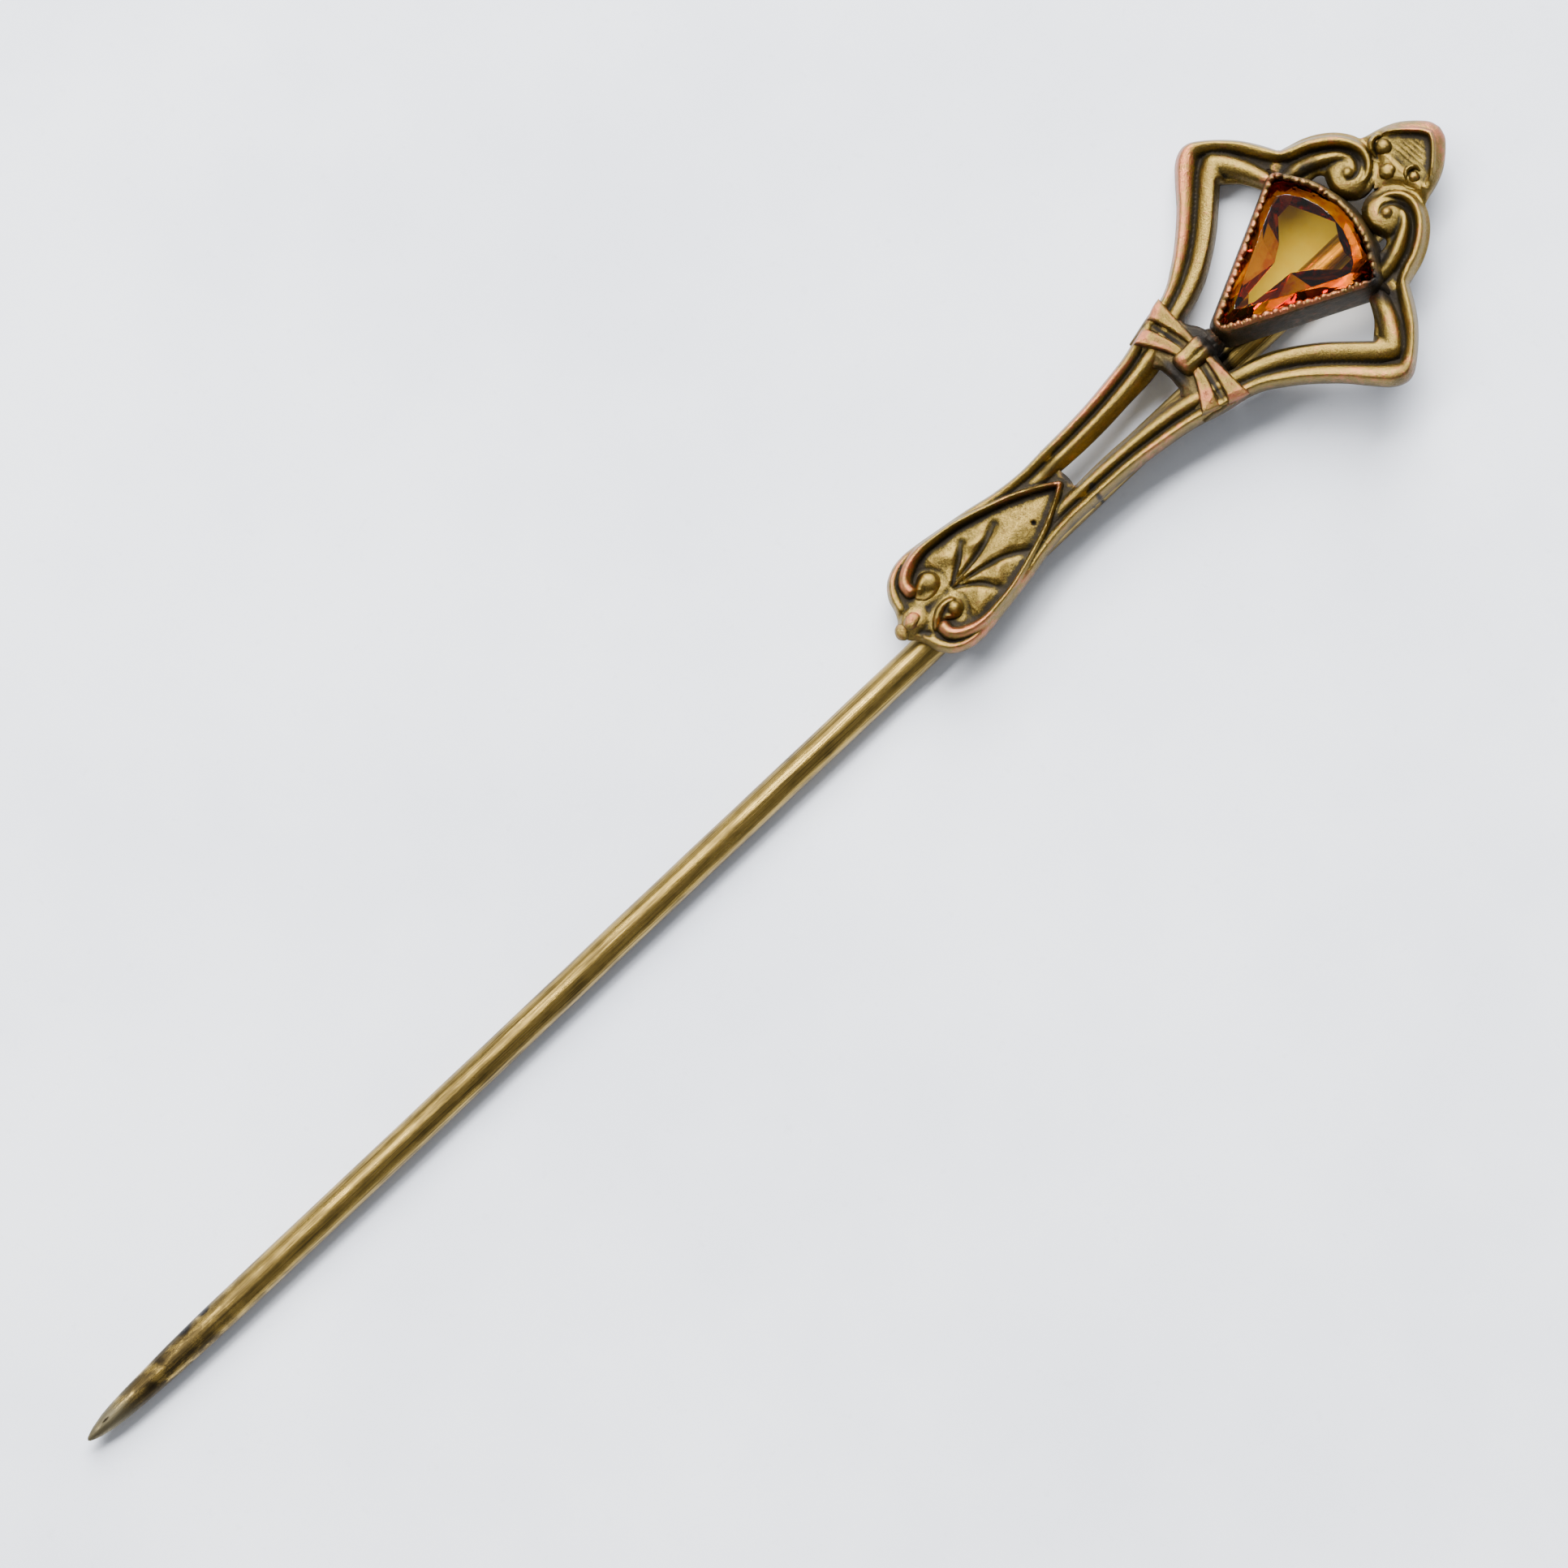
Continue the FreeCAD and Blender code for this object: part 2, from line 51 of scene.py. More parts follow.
MM = 0.001
BOW_TOP = -3.95
SHOULDER_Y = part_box("bow_plate")[1].y / MM - BOW_TOP
BACK_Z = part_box("rail_left")[0].z / MM


def metres(points):
    return (np.asarray(points, float) + (0.0, SHOULDER_Y, BACK_Z)) * MM


# ---- curves in the plane


def towards(t, start, end, p, q):
    """From p at start to q at end, in a straight line."""
    return (end - t) / (end - start) * p + (t - start) / (end - start) * q


def curve(points, step=0.05, corners=(), closed=False):
    """A smooth line through points, with sharp bends at the numbered ones."""
    P = np.asarray(points, float)
    count = len(P)
    line = []
    for i in range(count if closed else count - 1):
        a, b = P[i], P[(i + 1) % count]
        first = i in corners or (i == 0 and not closed)
        last = (i + 1) % count in corners or (i + 2 >= count and not closed)
        before = 2 * a - b if first else P[i - 1]
        after = 2 * b - a if last else P[(i + 2) % count]
        k = np.cumsum([0] + [max(np.hypot(*d), 1e-9) ** 0.5 for d in (a - before, b - a, after - b)])
        pieces = max(2, int(np.hypot(*(b - a)) / step) + 1)
        t = np.linspace(k[1], k[2], pieces, endpoint=False)[:, None]
        middle = towards(t, k[1], k[2], a, b)
        coming = towards(t, k[0], k[2], towards(t, k[0], k[1], before, a), middle)
        going = towards(t, k[1], k[3], middle, towards(t, k[2], k[3], b, after))
        line.append(towards(t, k[1], k[2], coming, going))
    if not closed:
        line.append(P[-1:])
    return np.concatenate(line)


def distances(line):
    """How far along a line each of its points lies."""
    return np.concatenate([[0], np.cumsum(np.hypot(*np.diff(line, axis=0).T))])


def looped(loop):
    """A closed line with its first point repeated at the end."""
    return np.vstack([loop, loop[:1]])


def even(line, count, endpoint=True):
    """Points at even distances along a line."""
    far = distances(line)
    marks = np.linspace(0, far[-1], count, endpoint=endpoint)
    return np.column_stack([np.interp(marks, far, line[:, k]) for k in (0, 1)])


def even_loop(loop, step):
    """A closed line cut into even steps."""
    ring = looped(loop)
    return even(ring, max(8, int(round(distances(ring)[-1] / step))), endpoint=False)


def on_side(way, points):
    """Points of the right side, or with way -1 their mirror image on the left."""
    return np.asarray(points, float) * (way, 1)


def both_halves(half):
    """A line that starts or ends on the mid-plane, and its mirror image after it."""
    return np.vstack([half, on_side(-1, half)[::-1][1:]])


def unsided(P):
    return np.column_stack([np.abs(P[:, 0]), P[:, 1]])


def nearest(P, path):
    """For each point: how far the path is, and how far along it (0 to 1) its nearest spot lies."""
    path = np.asarray(path, float)
    runs = np.diff(path, axis=0)
    squares = np.maximum((runs**2).sum(1), 1e-12)
    lengths = np.sqrt(squares)
    start = np.concatenate([[0], np.cumsum(lengths)])
    away = np.empty(len(P))
    share = np.empty(len(P))
    batch = 4000
    for low in range(0, len(P), batch):
        part = P[low : low + batch]
        rel = part[:, None, :] - path[None, :-1, :]
        t = np.clip((rel * runs).sum(2) / squares, 0, 1)
        square = ((rel - t[:, :, None] * runs) ** 2).sum(2)
        k = square.argmin(1)
        row = np.arange(len(part))
        away[low : low + batch] = np.sqrt(square[row, k])
        share[low : low + batch] = (start[k] + t[row, k] * lengths[k]) / start[-1]
    return away, share


def inside(P, loop):
    """Which points lie in a closed outline."""
    x, y = P[:, 0], P[:, 1]
    within = np.zeros(len(P), bool)
    for a, b in zip(loop, np.roll(loop, -1, axis=0)):
        crosses = (a[1] > y) != (b[1] > y)
        if a[1] != b[1]:
            within ^= crosses & (x < (b[0] - a[0]) * (y - a[1]) / (b[1] - a[1]) + a[0])
    return within


def turned(P, x, y, angle):
    """Coordinates about (x, y), along axes turned by an angle."""
    dx, dy = P[:, 0] - x, P[:, 1] - y
    c, s = math.cos(angle), math.sin(angle)
    return dx * c + dy * s, dy * c - dx * s


# ---- relief: heights over the plane


def rise(value, low, high):
    """0 below low and 1 above high, straight between them."""
    return np.clip((value - low) / (high - low), 0, 1)


def either(a, b, soft=0.03):
    """The higher of two surfaces, with a fillet between them."""
    return 0.5 * (a + b + np.sqrt((a - b) ** 2 + soft**2))


def along(share, values):
    """Values spread evenly along a path, read at each point's share of the way."""
    return np.interp(share, np.linspace(0, 1, np.size(values)), np.atleast_1d(values))


FALL = 1.5  # how steeply a form drops beyond its own edge


def cord(P, path, half, base, high):
    """A half-round cord laid along a path. half and high may be lists of values along it."""
    away, share = nearest(P, path)
    t = away / along(share, half)
    return base + along(share, high) * np.clip(1 - t**2, 0, 1) ** 0.75 - np.clip(t - 1, 0, None) * FALL


def cut(P, path, half, deep):
    """How deep a soft groove along a path goes."""
    away, share = nearest(P, path)
    return along(share, deep) * np.exp(-((away / along(share, half)) ** 2))


def dome(P, x, y, radius, base, high, squash=1.0):
    """A low ball. squash stretches it along y."""
    t = np.hypot(P[:, 0] - x, (P[:, 1] - y) / squash) / radius
    return base + high * np.sqrt(np.clip(1 - t**2, 0, 1)) - np.clip(t - 1, 0, None) * FALL


def waves(P, pitch, seed):
    """Gentle unevenness of a hand-finished surface, about -1 to 1."""
    random = np.random.default_rng(seed)
    total = np.zeros(len(P))
    for _ in range(9):
        way = random.uniform(0, math.pi)
        long = pitch * random.uniform(0.6, 1.7)
        ahead = P[:, 0] * math.cos(way) + P[:, 1] * math.sin(way)
        total += np.sin(ahead * 2 * math.pi / long + random.uniform(0, 6))
    return total / 5


# ---- meshes


def read(items, key, width, kind=np.float32):
    """One property of many mesh elements, a row for each."""
    values = np.empty(len(items) * width, kind)
    items.foreach_get(key, values)
    return values.reshape(-1, width)


WELD = 1e-4  # mm; points closer than this become one


def at_height(ring, z):
    return np.column_stack([ring, np.broadcast_to(z, len(ring))])


def finish_mesh(name, verts, faces, smooth=True, sharp_angle=None):
    """A mesh object from points in the head's millimetres, welded, with outward faces."""
    me = bpy.data.meshes.new(name)
    me.from_pydata([tuple(v) for v in verts], [], faces)
    bm = bmesh.new()
    bm.from_mesh(me)
    bmesh.ops.remove_doubles(bm, verts=bm.verts, dist=WELD)
    bmesh.ops.recalc_face_normals(bm, faces=bm.faces)
    bm.to_mesh(me)
    bm.free()
    me.vertices.foreach_set("co", metres(read(me.vertices, "co", 3)).astype(np.float32).ravel())
    me.polygons.foreach_set("use_smooth", [smooth] * len(me.polygons))
    if sharp_angle is not None:
        me.set_sharp_from_angle(angle=math.radians(sharp_angle))
    me.update()
    obj = bpy.data.objects.new(name, me)
    bpy.context.scene.collection.objects.link(obj)
    return obj


SHARED = 0.035  # closer than this, an outline runs along its neighbour's
DRAFT = 0.03  # how far the walls draw in towards the back
ROW_SPACING = 0.866  # of a grid of even triangles, as a share of their sides


def rolled_runs(loop, flush):
    """The stretches of a closed outline that roll over, leaving out those shared with a neighbour."""
    closed = looped(loop)
    if not flush:
        return [closed]
    middles = 0.5 * (closed[1:] + closed[:-1])
    shared = np.zeros(len(middles), bool)
    for path in flush:
        shared |= nearest(middles, path)[0] < SHARED
    runs, run = [], []
    for i in np.roll(np.arange(len(loop)), -int(np.argmax(shared))):
        if shared[i]:
            if run:
                runs.append(np.array(run))
            run = []
        else:
            run = run or [closed[i]]
            run.append(closed[i + 1])
    if run:
        runs.append(np.array(run))
    return runs


def plan_points(loop, inward, roll, step):
    """The points of a piece's top: its outline, rings just inside it, and an even grid."""
    closed = looped(loop)
    points = [loop]
    for inset in (0.10 * roll, 0.28 * roll, 0.55 * roll):
        ring = loop + inward * inset
        away, _ = nearest(ring, closed)
        points.append(ring[(away > 0.93 * inset) & inside(ring, loop)])
    low, high = loop.min(0), loop.max(0)
    grid = []
    for j, y in enumerate(np.arange(low[1], high[1], step * ROW_SPACING)):
        xs = np.arange(low[0], high[0], step) + (step / 2 if j % 2 else 0)
        grid.append(np.column_stack([xs, np.full(len(xs), y)]))
    grid = np.concatenate(grid)
    grid = grid[inside(grid, loop)]
    away, _ = nearest(grid, closed)
    points.append(grid[away > 0.55 * roll + 0.4 * step])
    return np.concatenate(points)


def filled_in(points, edges):
    """The triangles that fill an outline: their points, and the corners of each."""
    mesh = delaunay_2d_cdt([Vector(p) for p in points], edges, [], 1, 1e-6)
    return np.array([tuple(v) for v in mesh[0]]), [tuple(f) for f in mesh[2]]


def relief(name, outline, height, lip=0.30, roll=0.16, step=0.04, floor=0.0, flush=()):
    """A struck piece: a top that follows height(points), rolled over at the edge, on upright walls.

    lip is how high the wall stands over the piece's own floor before the top rolls over, and roll
    how wide that is.
    flush lists lines shared with a neighbour, where the top runs on at its full height.
    """
    loop = even_loop(outline, step)
    area = 0.5 * np.sum(loop[:, 0] * np.roll(loop[:, 1], -1) - np.roll(loop[:, 0], -1) * loop[:, 1])
    if area < 0:
        loop = loop[::-1]
    runs = rolled_runs(loop, flush)
    tangent = np.roll(loop, -1, axis=0) - np.roll(loop, 1, axis=0)
    inward = np.column_stack([-tangent[:, 1], tangent[:, 0]]) / np.hypot(*tangent.T)[:, None]

    def top(points):
        away = np.min([nearest(points, run)[0] for run in runs], axis=0)
        t = np.clip(np.where(away < 1e-4, 0, away) / roll, 0, 1)
        return floor + lip + (height(points) - floor - lip) * (1 - (1 - t) ** 2) ** 0.75

    n = len(loop)
    edges = [(i, (i + 1) % n) for i in range(n)]
    P, faces = filled_in(plan_points(loop, inward, roll, step), edges)
    verts = [at_height(P, top(P))]
    crown = top(loop)
    loose = np.ones((n, 1))
    for path in flush:
        loose[nearest(loop, path)[0] < SHARED] = 0
    levels = [(crown, 0.0), (floor + 0.5 * lip, 0.4 * DRAFT), (floor + 0.05, DRAFT), (floor, DRAFT + 0.04)]
    for row, (level, inset) in enumerate(levels):
        base = loop + inward * inset * loose
        verts.append(at_height(base, level))
        start = len(P) + row * n
        if row < len(levels) - 1:
            faces += [(start + a, start + a + n, start + b + n, start + b) for a, b in edges]
    Q, under = filled_in(base, edges)
    verts.append(at_height(Q, floor))
    faces += [tuple(start + n + i for i in reversed(f)) for f in under]
    return finish_mesh(name, np.concatenate(verts), faces, sharp_angle=50)


def swept(name, rings, caps=True, sharp_angle=None):
    """A skin over rings of points, each ring an array of the same length."""
    n = len(rings[0])
    faces = []
    for start in range(0, (len(rings) - 1) * n, n):
        for i in range(n):
            a, b = start + i, start + (i + 1) % n
            faces.append((a, b, b + n, a + n))
    if caps:
        faces.append(tuple(reversed(range(n))))
        faces.append(tuple((len(rings) - 1) * n + i for i in range(n)))
    return finish_mesh(name, np.concatenate(rings), faces, sharp_angle=sharp_angle)


# ---- masks of wear, soot and painted shade

# Soft spots: x, y, radius across, radius along, turn in degrees, strength.
ROSE_SPOTS = [
    (-1.3, -1.1, 0.45, 2.9, 26, 0.62), (1.3, -1.1, 0.45, 2.9, -26, 0.62), (0, -3.6, 0.55, 0.45, 0, 0.75),
    (2.38, 1.15, 0.42, 0.42, 0, 0.75), (-2.42, 1.15, 0.36, 0.36, 0, 0.6),
    (-1.98, -4.35, 0.22, 0.4, 0, 0.85), (-1.6, -5.2, 0.25, 0.36, 0, 0.75),
    (-0.95, -4.98, 0.45, 0.2, 30, 0.6), (1.95, -4.3, 0.28, 0.4, 0, 0.75),
    (1.25, -5.1, 0.45, 0.26, -35, 0.85), (0.9, -4.12, 0.4, 0.15, 0, 0.6),
    (-0.05, -4.85, 0.35, 0.18, 0, 0.9), (-4.7, -0.55, 1.5, 0.5, -42, 1), (-3.3, -1.95, 1.7, 0.45, -48, 0.9),
    (-2.35, -3.1, 1, 0.3, -60, 0.55), (5, 0.25, 0.4, 0.45, 0, 0.45), (4.2, -0.95, 1.5, 0.25, 45, 0.55),
    (3.6, 0.95, 0.7, 0.22, -35, 0.6), (-1.2, -7.4, 0.2, 1.9, 4, 0.95), (1.35, -7.6, 0.22, 2.2, 4, 0.55),
    (0, 6.15, 0.75, 0.3, 0, 0.95), (-0.45, 5.7, 0.75, 0.2, 42, 0.9), (0.65, 5.85, 0.35, 0.3, -45, 0.6),
    (-0.05, -10.4, 0.45, 0.35, 0, 0.8), (-0.5, -11.4, 0.9, 0.16, 60, 0.7),
    (-1.45, -15.7, 0.45, 0.75, 10, 1), (-1, -16.15, 0.5, 0.3, 0, 1), (1.55, -15.5, 0.4, 0.9, -8, 0.95),
    (1, -15.95, 0.55, 0.35, 20, 0.9), (-0.12, -16.62, 0.16, 0.3, 0, 0.9), (1.5, -13.2, 0.22, 1.2, -12, 0.5),
    (-2.2, 3.35, 0.7, 0.22, 50, 0.35), (2.2, 3.05, 0.7, 0.22, -58, 0.5), (0.72, 3.05, 0.4, 0.25, 0, 0.5),
]
# Dark spots, with the same columns: real soot and stains on the reeds, the leaf and the stem, and painted
# shade in the gaps and corners between parts, under and between the bow's flaps, on the crest's panel and
# right side, and on the right shoulder that faces away from the light.
SOOT_AND_SHADE_SPOTS = [
    (5.12, -0.05, 0.4, 0.7, 0, 0.56), (1.22, 4.85, 0.22, 0.6, 15, 0.45), (0, -10, 0.5, 0.18, 0, 1),
    (-0.3, -4.3, 0.14, 0.6, 0, 0.45), (1.05, -4.56, 0.85, 0.085, -13, 1),
    (-1.05, -4.56, 0.85, 0.085, 13, 1), (2.55, 1.35, 0.75, 0.42, 0, 1), (-2.35, 1.75, 0.45, 0.45, 0, 0.8),
    (-1.95, 2.35, 0.3, 0.55, 0, 0.8), (1.75, 2.1, 0.45, 0.5, 0, 0.9), (0, -3.8, 1.5, 0.35, 0, 1),
    (0, -5.2, 0.75, 0.22, 0, 1), (0.05, 3.1, 0.3, 0.7, 0, 0.85), (0.82, -9.6, 0.17, 0.15, 0, 1),
    (1.18, -9.68, 0.12, 0.12, 0, 0.9), (0.32, -11.76, 0.09, 0.09, 0, 1), (0.75, -10.8, 0.18, 0.4, 10, 0.6),
    (-0.6, -10.2, 0.25, 0.5, 0, 0.6), (0.45, -16.75, 0.22, 0.18, 0, 0.8), (0, -15.95, 0.2, 0.45, 0, 0.7),
    (-0.4, -7.4, 0.2, 2.3, 4, 0.58), (0, 5, 0.9, 0.7, 0, 0.42), (0.66, -4.2, 0.3, 0.1, -8, 0.6),
    (-0.66, -4.2, 0.3, 0.1, 8, 0.6), (0.72, -4.94, 0.3, 0.1, -28, 0.6), (-0.72, -4.94, 0.3, 0.1, 28, 0.6),
    (0.24, -48.3, 0.22, 0.3, 0, 1), (0.24, -49.15, 0.24, 0.34, 0, 1), (0.55, -50.4, 0.25, 0.22, 20, 0.7),
    (0.9, -51.1, 0.22, 0.3, -20, 0.6), (0.66, -52.95, 0.05, 0.22, 0, 0.8), (0.3, -22.6, 0.1, 0.35, 0, 0.5),
]


def spots_at(P, spots):
    """The strongest of several soft spots at each point."""
    total = np.zeros(len(P))
    for x, y, wide, tall, turn, strength in spots:
        u, v = turned(P, x, y, math.radians(turn))
        total = np.maximum(total, strength * np.exp(-(((u / wide) ** 2 + (v / tall) ** 2) ** 1.5)))
    return total


SMOOTHINGS = 30  # rounds that smooth the form which a piece is compared with
FULL_HOLLOW = 0.030  # mm below the smoothed form


def mark_wear_and_shade(obj):
    """Writes where a piece is hollow (1) or proud (-1), how rosy it has worn, and where soot and painted
    shade darken it.
    """
    me = obj.data
    count = len(me.vertices)
    co = read(me.vertices, "co", 3).astype(float) / MM
    edges = read(me.edges, "vertices", 2, np.int32)
    ends = np.concatenate([edges[:, 0], edges[:, 1]])
    others = np.concatenate([edges[:, 1], edges[:, 0]])
    degree = np.maximum(np.bincount(ends, minlength=count), 1)

    def averaged(values):
        return np.bincount(ends, values[others], minlength=count) / degree

    soft = co
    for _ in range(SMOOTHINGS):
        soft = 0.4 * soft + 0.6 * np.column_stack([averaged(soft[:, k]) for k in range(3)])
    hollow = ((soft - co) * read(me.vertices, "normal", 3)).sum(1) / FULL_HOLLOW
    hollow = np.clip(hollow, -1.2, 1.2)
    for _ in range(3):
        hollow = 0.5 * hollow + 0.5 * averaged(hollow)
    # soot and painted shade lie on the front, not under the stem
    plane = co[:, :2] - (0.0, SHOULDER_Y)
    front = rise(co[:, 2] - BACK_Z, -0.75, -0.55)
    rose, soot_and_shade = spots_at(plane, ROSE_SPOTS), spots_at(plane, SOOT_AND_SHADE_SPOTS) * front
    for name, values in (("hollow", hollow), ("rose", rose), ("soot_and_shade", soot_and_shade)):
        attribute = me.attributes.new(name, "FLOAT", "POINT")
        attribute.data.foreach_set("value", values.astype(np.float32))


# ---- materials


class Nodes:
    """A small builder for a material's nodes."""

    def __init__(self, name):
        self.material = bpy.data.materials.new(name)
        self.material.use_nodes = True
        self.tree = self.material.node_tree
        self.tree.nodes.clear()
        self.out = self.tree.nodes.new("ShaderNodeOutputMaterial")

    def add(self, kind, inputs=None, **settings):
        node = self.tree.nodes.new("ShaderNode" + kind)
        for key, value in settings.items():
            setattr(node, key, value)
        for key, value in (inputs or {}).items():
            self.put(node.inputs[key], value)
        return node

    def put(self, socket, value):
        if isinstance(value, bpy.types.NodeSocket):
            self.tree.links.new(value, socket)
        elif isinstance(value, bpy.types.Node):
            self.tree.links.new(value.outputs[0], socket)
        else:
            socket.default_value = value

    def math(self, operation, a, b):
        return self.add("Math", {0: a, 1: b}, operation=operation).outputs[0]

    def times(self, a, b):
        return self.math("MULTIPLY", a, b)

    def plus(self, a, b, share=None):
        """a + b, or a + share * b."""
        return self.math("ADD", a, b if share is None else self.times(b, share))

    def span(self, value, low, high, to_low=0.0, to_high=1.0):
        """value's range stretched to another, smoothly and within its ends."""
        keys = ("Value", "From Min", "From Max", "To Min", "To Max")
        inputs = dict(zip(keys, (value, low, high, to_low, to_high)))
        return self.add("MapRange", inputs, interpolation_type="SMOOTHSTEP").outputs[0]

    def mix(self, share, a, b):
        return self.add("Mix", {0: share, 6: a, 7: b}, data_type="RGBA").outputs[2]

    def place(self, stretch=(1, 1, 1)):
        """Object coordinates in millimetres, stretched."""
        here = self.add("TexCoord").outputs["Object"]
        return self.add("Mapping", {"Scale": tuple(1000 * s for s in stretch), "Vector": here}).outputs[0]

    def noise(self, where, scale, detail=3.0, rough=0.55):
        inputs = {"Scale": scale, "Detail": detail, "Roughness": rough, "Vector": where}
        return self.add("TexNoise", inputs).outputs["Fac"]

    def attribute(self, name):
        return self.add("Attribute", attribute_name=name).outputs["Fac"]

    def surface(self, shader):
        self.put(self.out.inputs["Surface"], shader)
        return self.material

    def metal(self, base, rough, metallic, height, strength, distance):
        """A bumpy metal on the outside."""
        bump = self.add("Bump", {"Strength": strength, "Distance": distance, "Height": height})
        look = {"Base Color": base, "Roughness": rough, "Metallic": metallic, "Normal": bump}
        return self.surface(self.add("BsdfPrincipled", look))


def colour(red, green, blue):
    """A display colour (0 to 255) as the linear one that shaders take."""
    shares = (c / 255 for c in (red, green, blue))
    return tuple(((s + 0.055) / 1.055) ** 2.4 if s > 10 / 255 else s / 12.92 for s in shares) + (1.0,)


GOLD = colour(128, 107, 54)
OLIVE = colour(74, 64, 32)
BROWN = colour(37, 31, 22)
BLACK = colour(22, 18, 14)
ROSE = colour(166, 98, 72)
ROSE_DARK = colour(84, 50, 38)
STEEL = colour(120, 114, 92)
GLASS_IOR = 1.56


def worn_metal(name, gold=GOLD, olive=OLIVE, brown=BROWN, rose_all=0.0, rosiness=1.0, grain=1.0):
    """Gilt brass: bright where rubbed, olive and brown in the hollows, rose where the gilding has gone."""
    n = Nodes(name)
    here = n.place()
    blotch = n.noise(here, 1.1, 4.0)
    cloud = n.noise(here, 3.7, 4.0, 0.6)
    fine = n.noise(here, 17.0, 3.0, 0.65)
    speck = n.noise(here, 55.0, 2.0, 0.6)
    # how dirty: hollows, and blotches of old lacquer
    mottled = n.plus(n.times(cloud, 0.9), fine, 0.55)
    grit = n.times(n.math("SUBTRACT", speck, 0.5), 0.95)
    uneven = n.plus(n.math("SUBTRACT", mottled, 0.72), grit)
    depth = n.plus(n.attribute("hollow"), uneven, 2.2)
    dirty = n.span(depth, 0.10, 1.0)
    tarnish = n.span(n.plus(depth, blotch, 0.9), -0.15, 0.95)
    base = n.mix(tarnish, gold, olive)
    base = n.mix(n.span(n.plus(speck, fine, 0.5), 0.68, 0.86, 0.0, 0.70), base, olive)
    # rose wear sits on the proud parts of rosy places
    rosy = n.plus(n.times(n.attribute("rose"), rosiness), rose_all)
    rosy = n.times(rosy, n.span(depth, 0.55, -0.35))
    rosy = n.times(n.span(n.plus(rosy, uneven, 3.0), 0.30, 1.05), 0.85)
    rose = n.mix(n.span(n.plus(depth, speck, 0.8), -0.1, 0.8), ROSE, ROSE_DARK)
    base = n.mix(rosy, base, rose)
    base = n.mix(dirty, base, brown)
    # walls that face sideways are darkened to brown, the more so the further their surface turns from facing
    # up
    facing = n.add("SeparateXYZ", {"Vector": n.add("NewGeometry").outputs["Normal"]}).outputs["Z"]
    wall = n.times(n.span(facing, 0.50, 0.05), 0.92)
    wall = n.times(wall, n.span(mottled, 0.35, 0.95, 1.0, 0.55))
    base = n.mix(wall, base, brown)
    # black at the marked spots: soot, and painted shade in gaps and on sides turned away from the light
    soot_and_shade_mask = n.span(n.times(n.attribute("soot_and_shade"), n.span(mottled, 0.3, 0.9, 1.0, 0.7)), 0.15, 0.75)
    base = n.mix(soot_and_shade_mask, base, BLACK)
    pitted = n.span(speck, 0.61, 0.70, 0.0, 0.60)
    base = n.mix(pitted, base, brown)
    grime_and_shade = n.math("MAXIMUM", n.math("MAXIMUM", dirty, wall), soot_and_shade_mask)
    rough = n.plus(n.span(n.plus(depth, fine, 0.4), -0.6, 1.1, 0.31, 0.50), grime_and_shade, 0.22)
    metallic = n.span(grime_and_shade, 0.35, 1.0, 1.0, 0.75)
    height = n.plus(n.plus(n.times(fine, 0.7), speck, 0.35), cloud, 0.8)
    return n.metal(base, rough, metallic, height, 0.72 * grain, 0.04 * MM)


def drawn_wire(name):
    """The stem: lengthwise drawing marks, brown tarnish growing towards the point."""
    n = Nodes(name)
    here = n.place()
    streaks = n.noise(n.place((1.0, 0.035, 1.0)), 11.0, 4.0, 0.7)
    hair = n.noise(n.place((1.0, 0.012, 1.0)), 17.0, 2.0, 0.6)
    cloud = n.noise(n.place((1.0, 0.45, 1.0)), 2.2, 4.0, 0.6)
    speck = n.noise(here, 30.0, 3.0, 0.6)
    lengthwise = n.add("SeparateXYZ", {"Vector": here}).outputs["Y"]
    soiled = n.plus(n.times(streaks, 0.95), cloud, 0.55)
    base = n.mix(n.span(soiled, 0.55, 0.98), colour(160, 134, 70), colour(88, 73, 38))
    base = n.mix(n.times(n.span(hair, 0.50, 0.66), 0.55), base, BROWN)
    # old tarnish: patches and a mottled last stretch, the gilding gone at the very point
    near_point = n.span(lengthwise, -20.0, -26.5)
    patch = n.times(near_point, n.span(n.plus(cloud, speck, 0.35), 0.52, 0.70))
    base = n.mix(n.times(patch, 0.85), base, BROWN)
    base = n.mix(n.times(n.span(lengthwise, -27.6, -29.3), 0.55), base, STEEL)
    # black at the marked spots: soot and stains, and painted shade where the stem shows in the shaded gaps
    # under the head
    spots = n.times(n.attribute("soot_and_shade"), n.span(speck, 0.25, 0.6, 1.0, 0.75))
    base = n.mix(n.span(spots, 0.2, 0.7), base, BLACK)
    base = n.mix(n.span(speck, 0.67, 0.73, 0.0, 0.5), base, BROWN)
    rough = n.plus(n.span(soiled, 0.5, 1.0, 0.24, 0.38), patch, 0.2)
    height = n.plus(n.plus(n.times(streaks, 0.8), hair, 0.5), speck, 0.25)
    return n.metal(base, rough, 1.0, height, 0.45, 0.03 * MM)


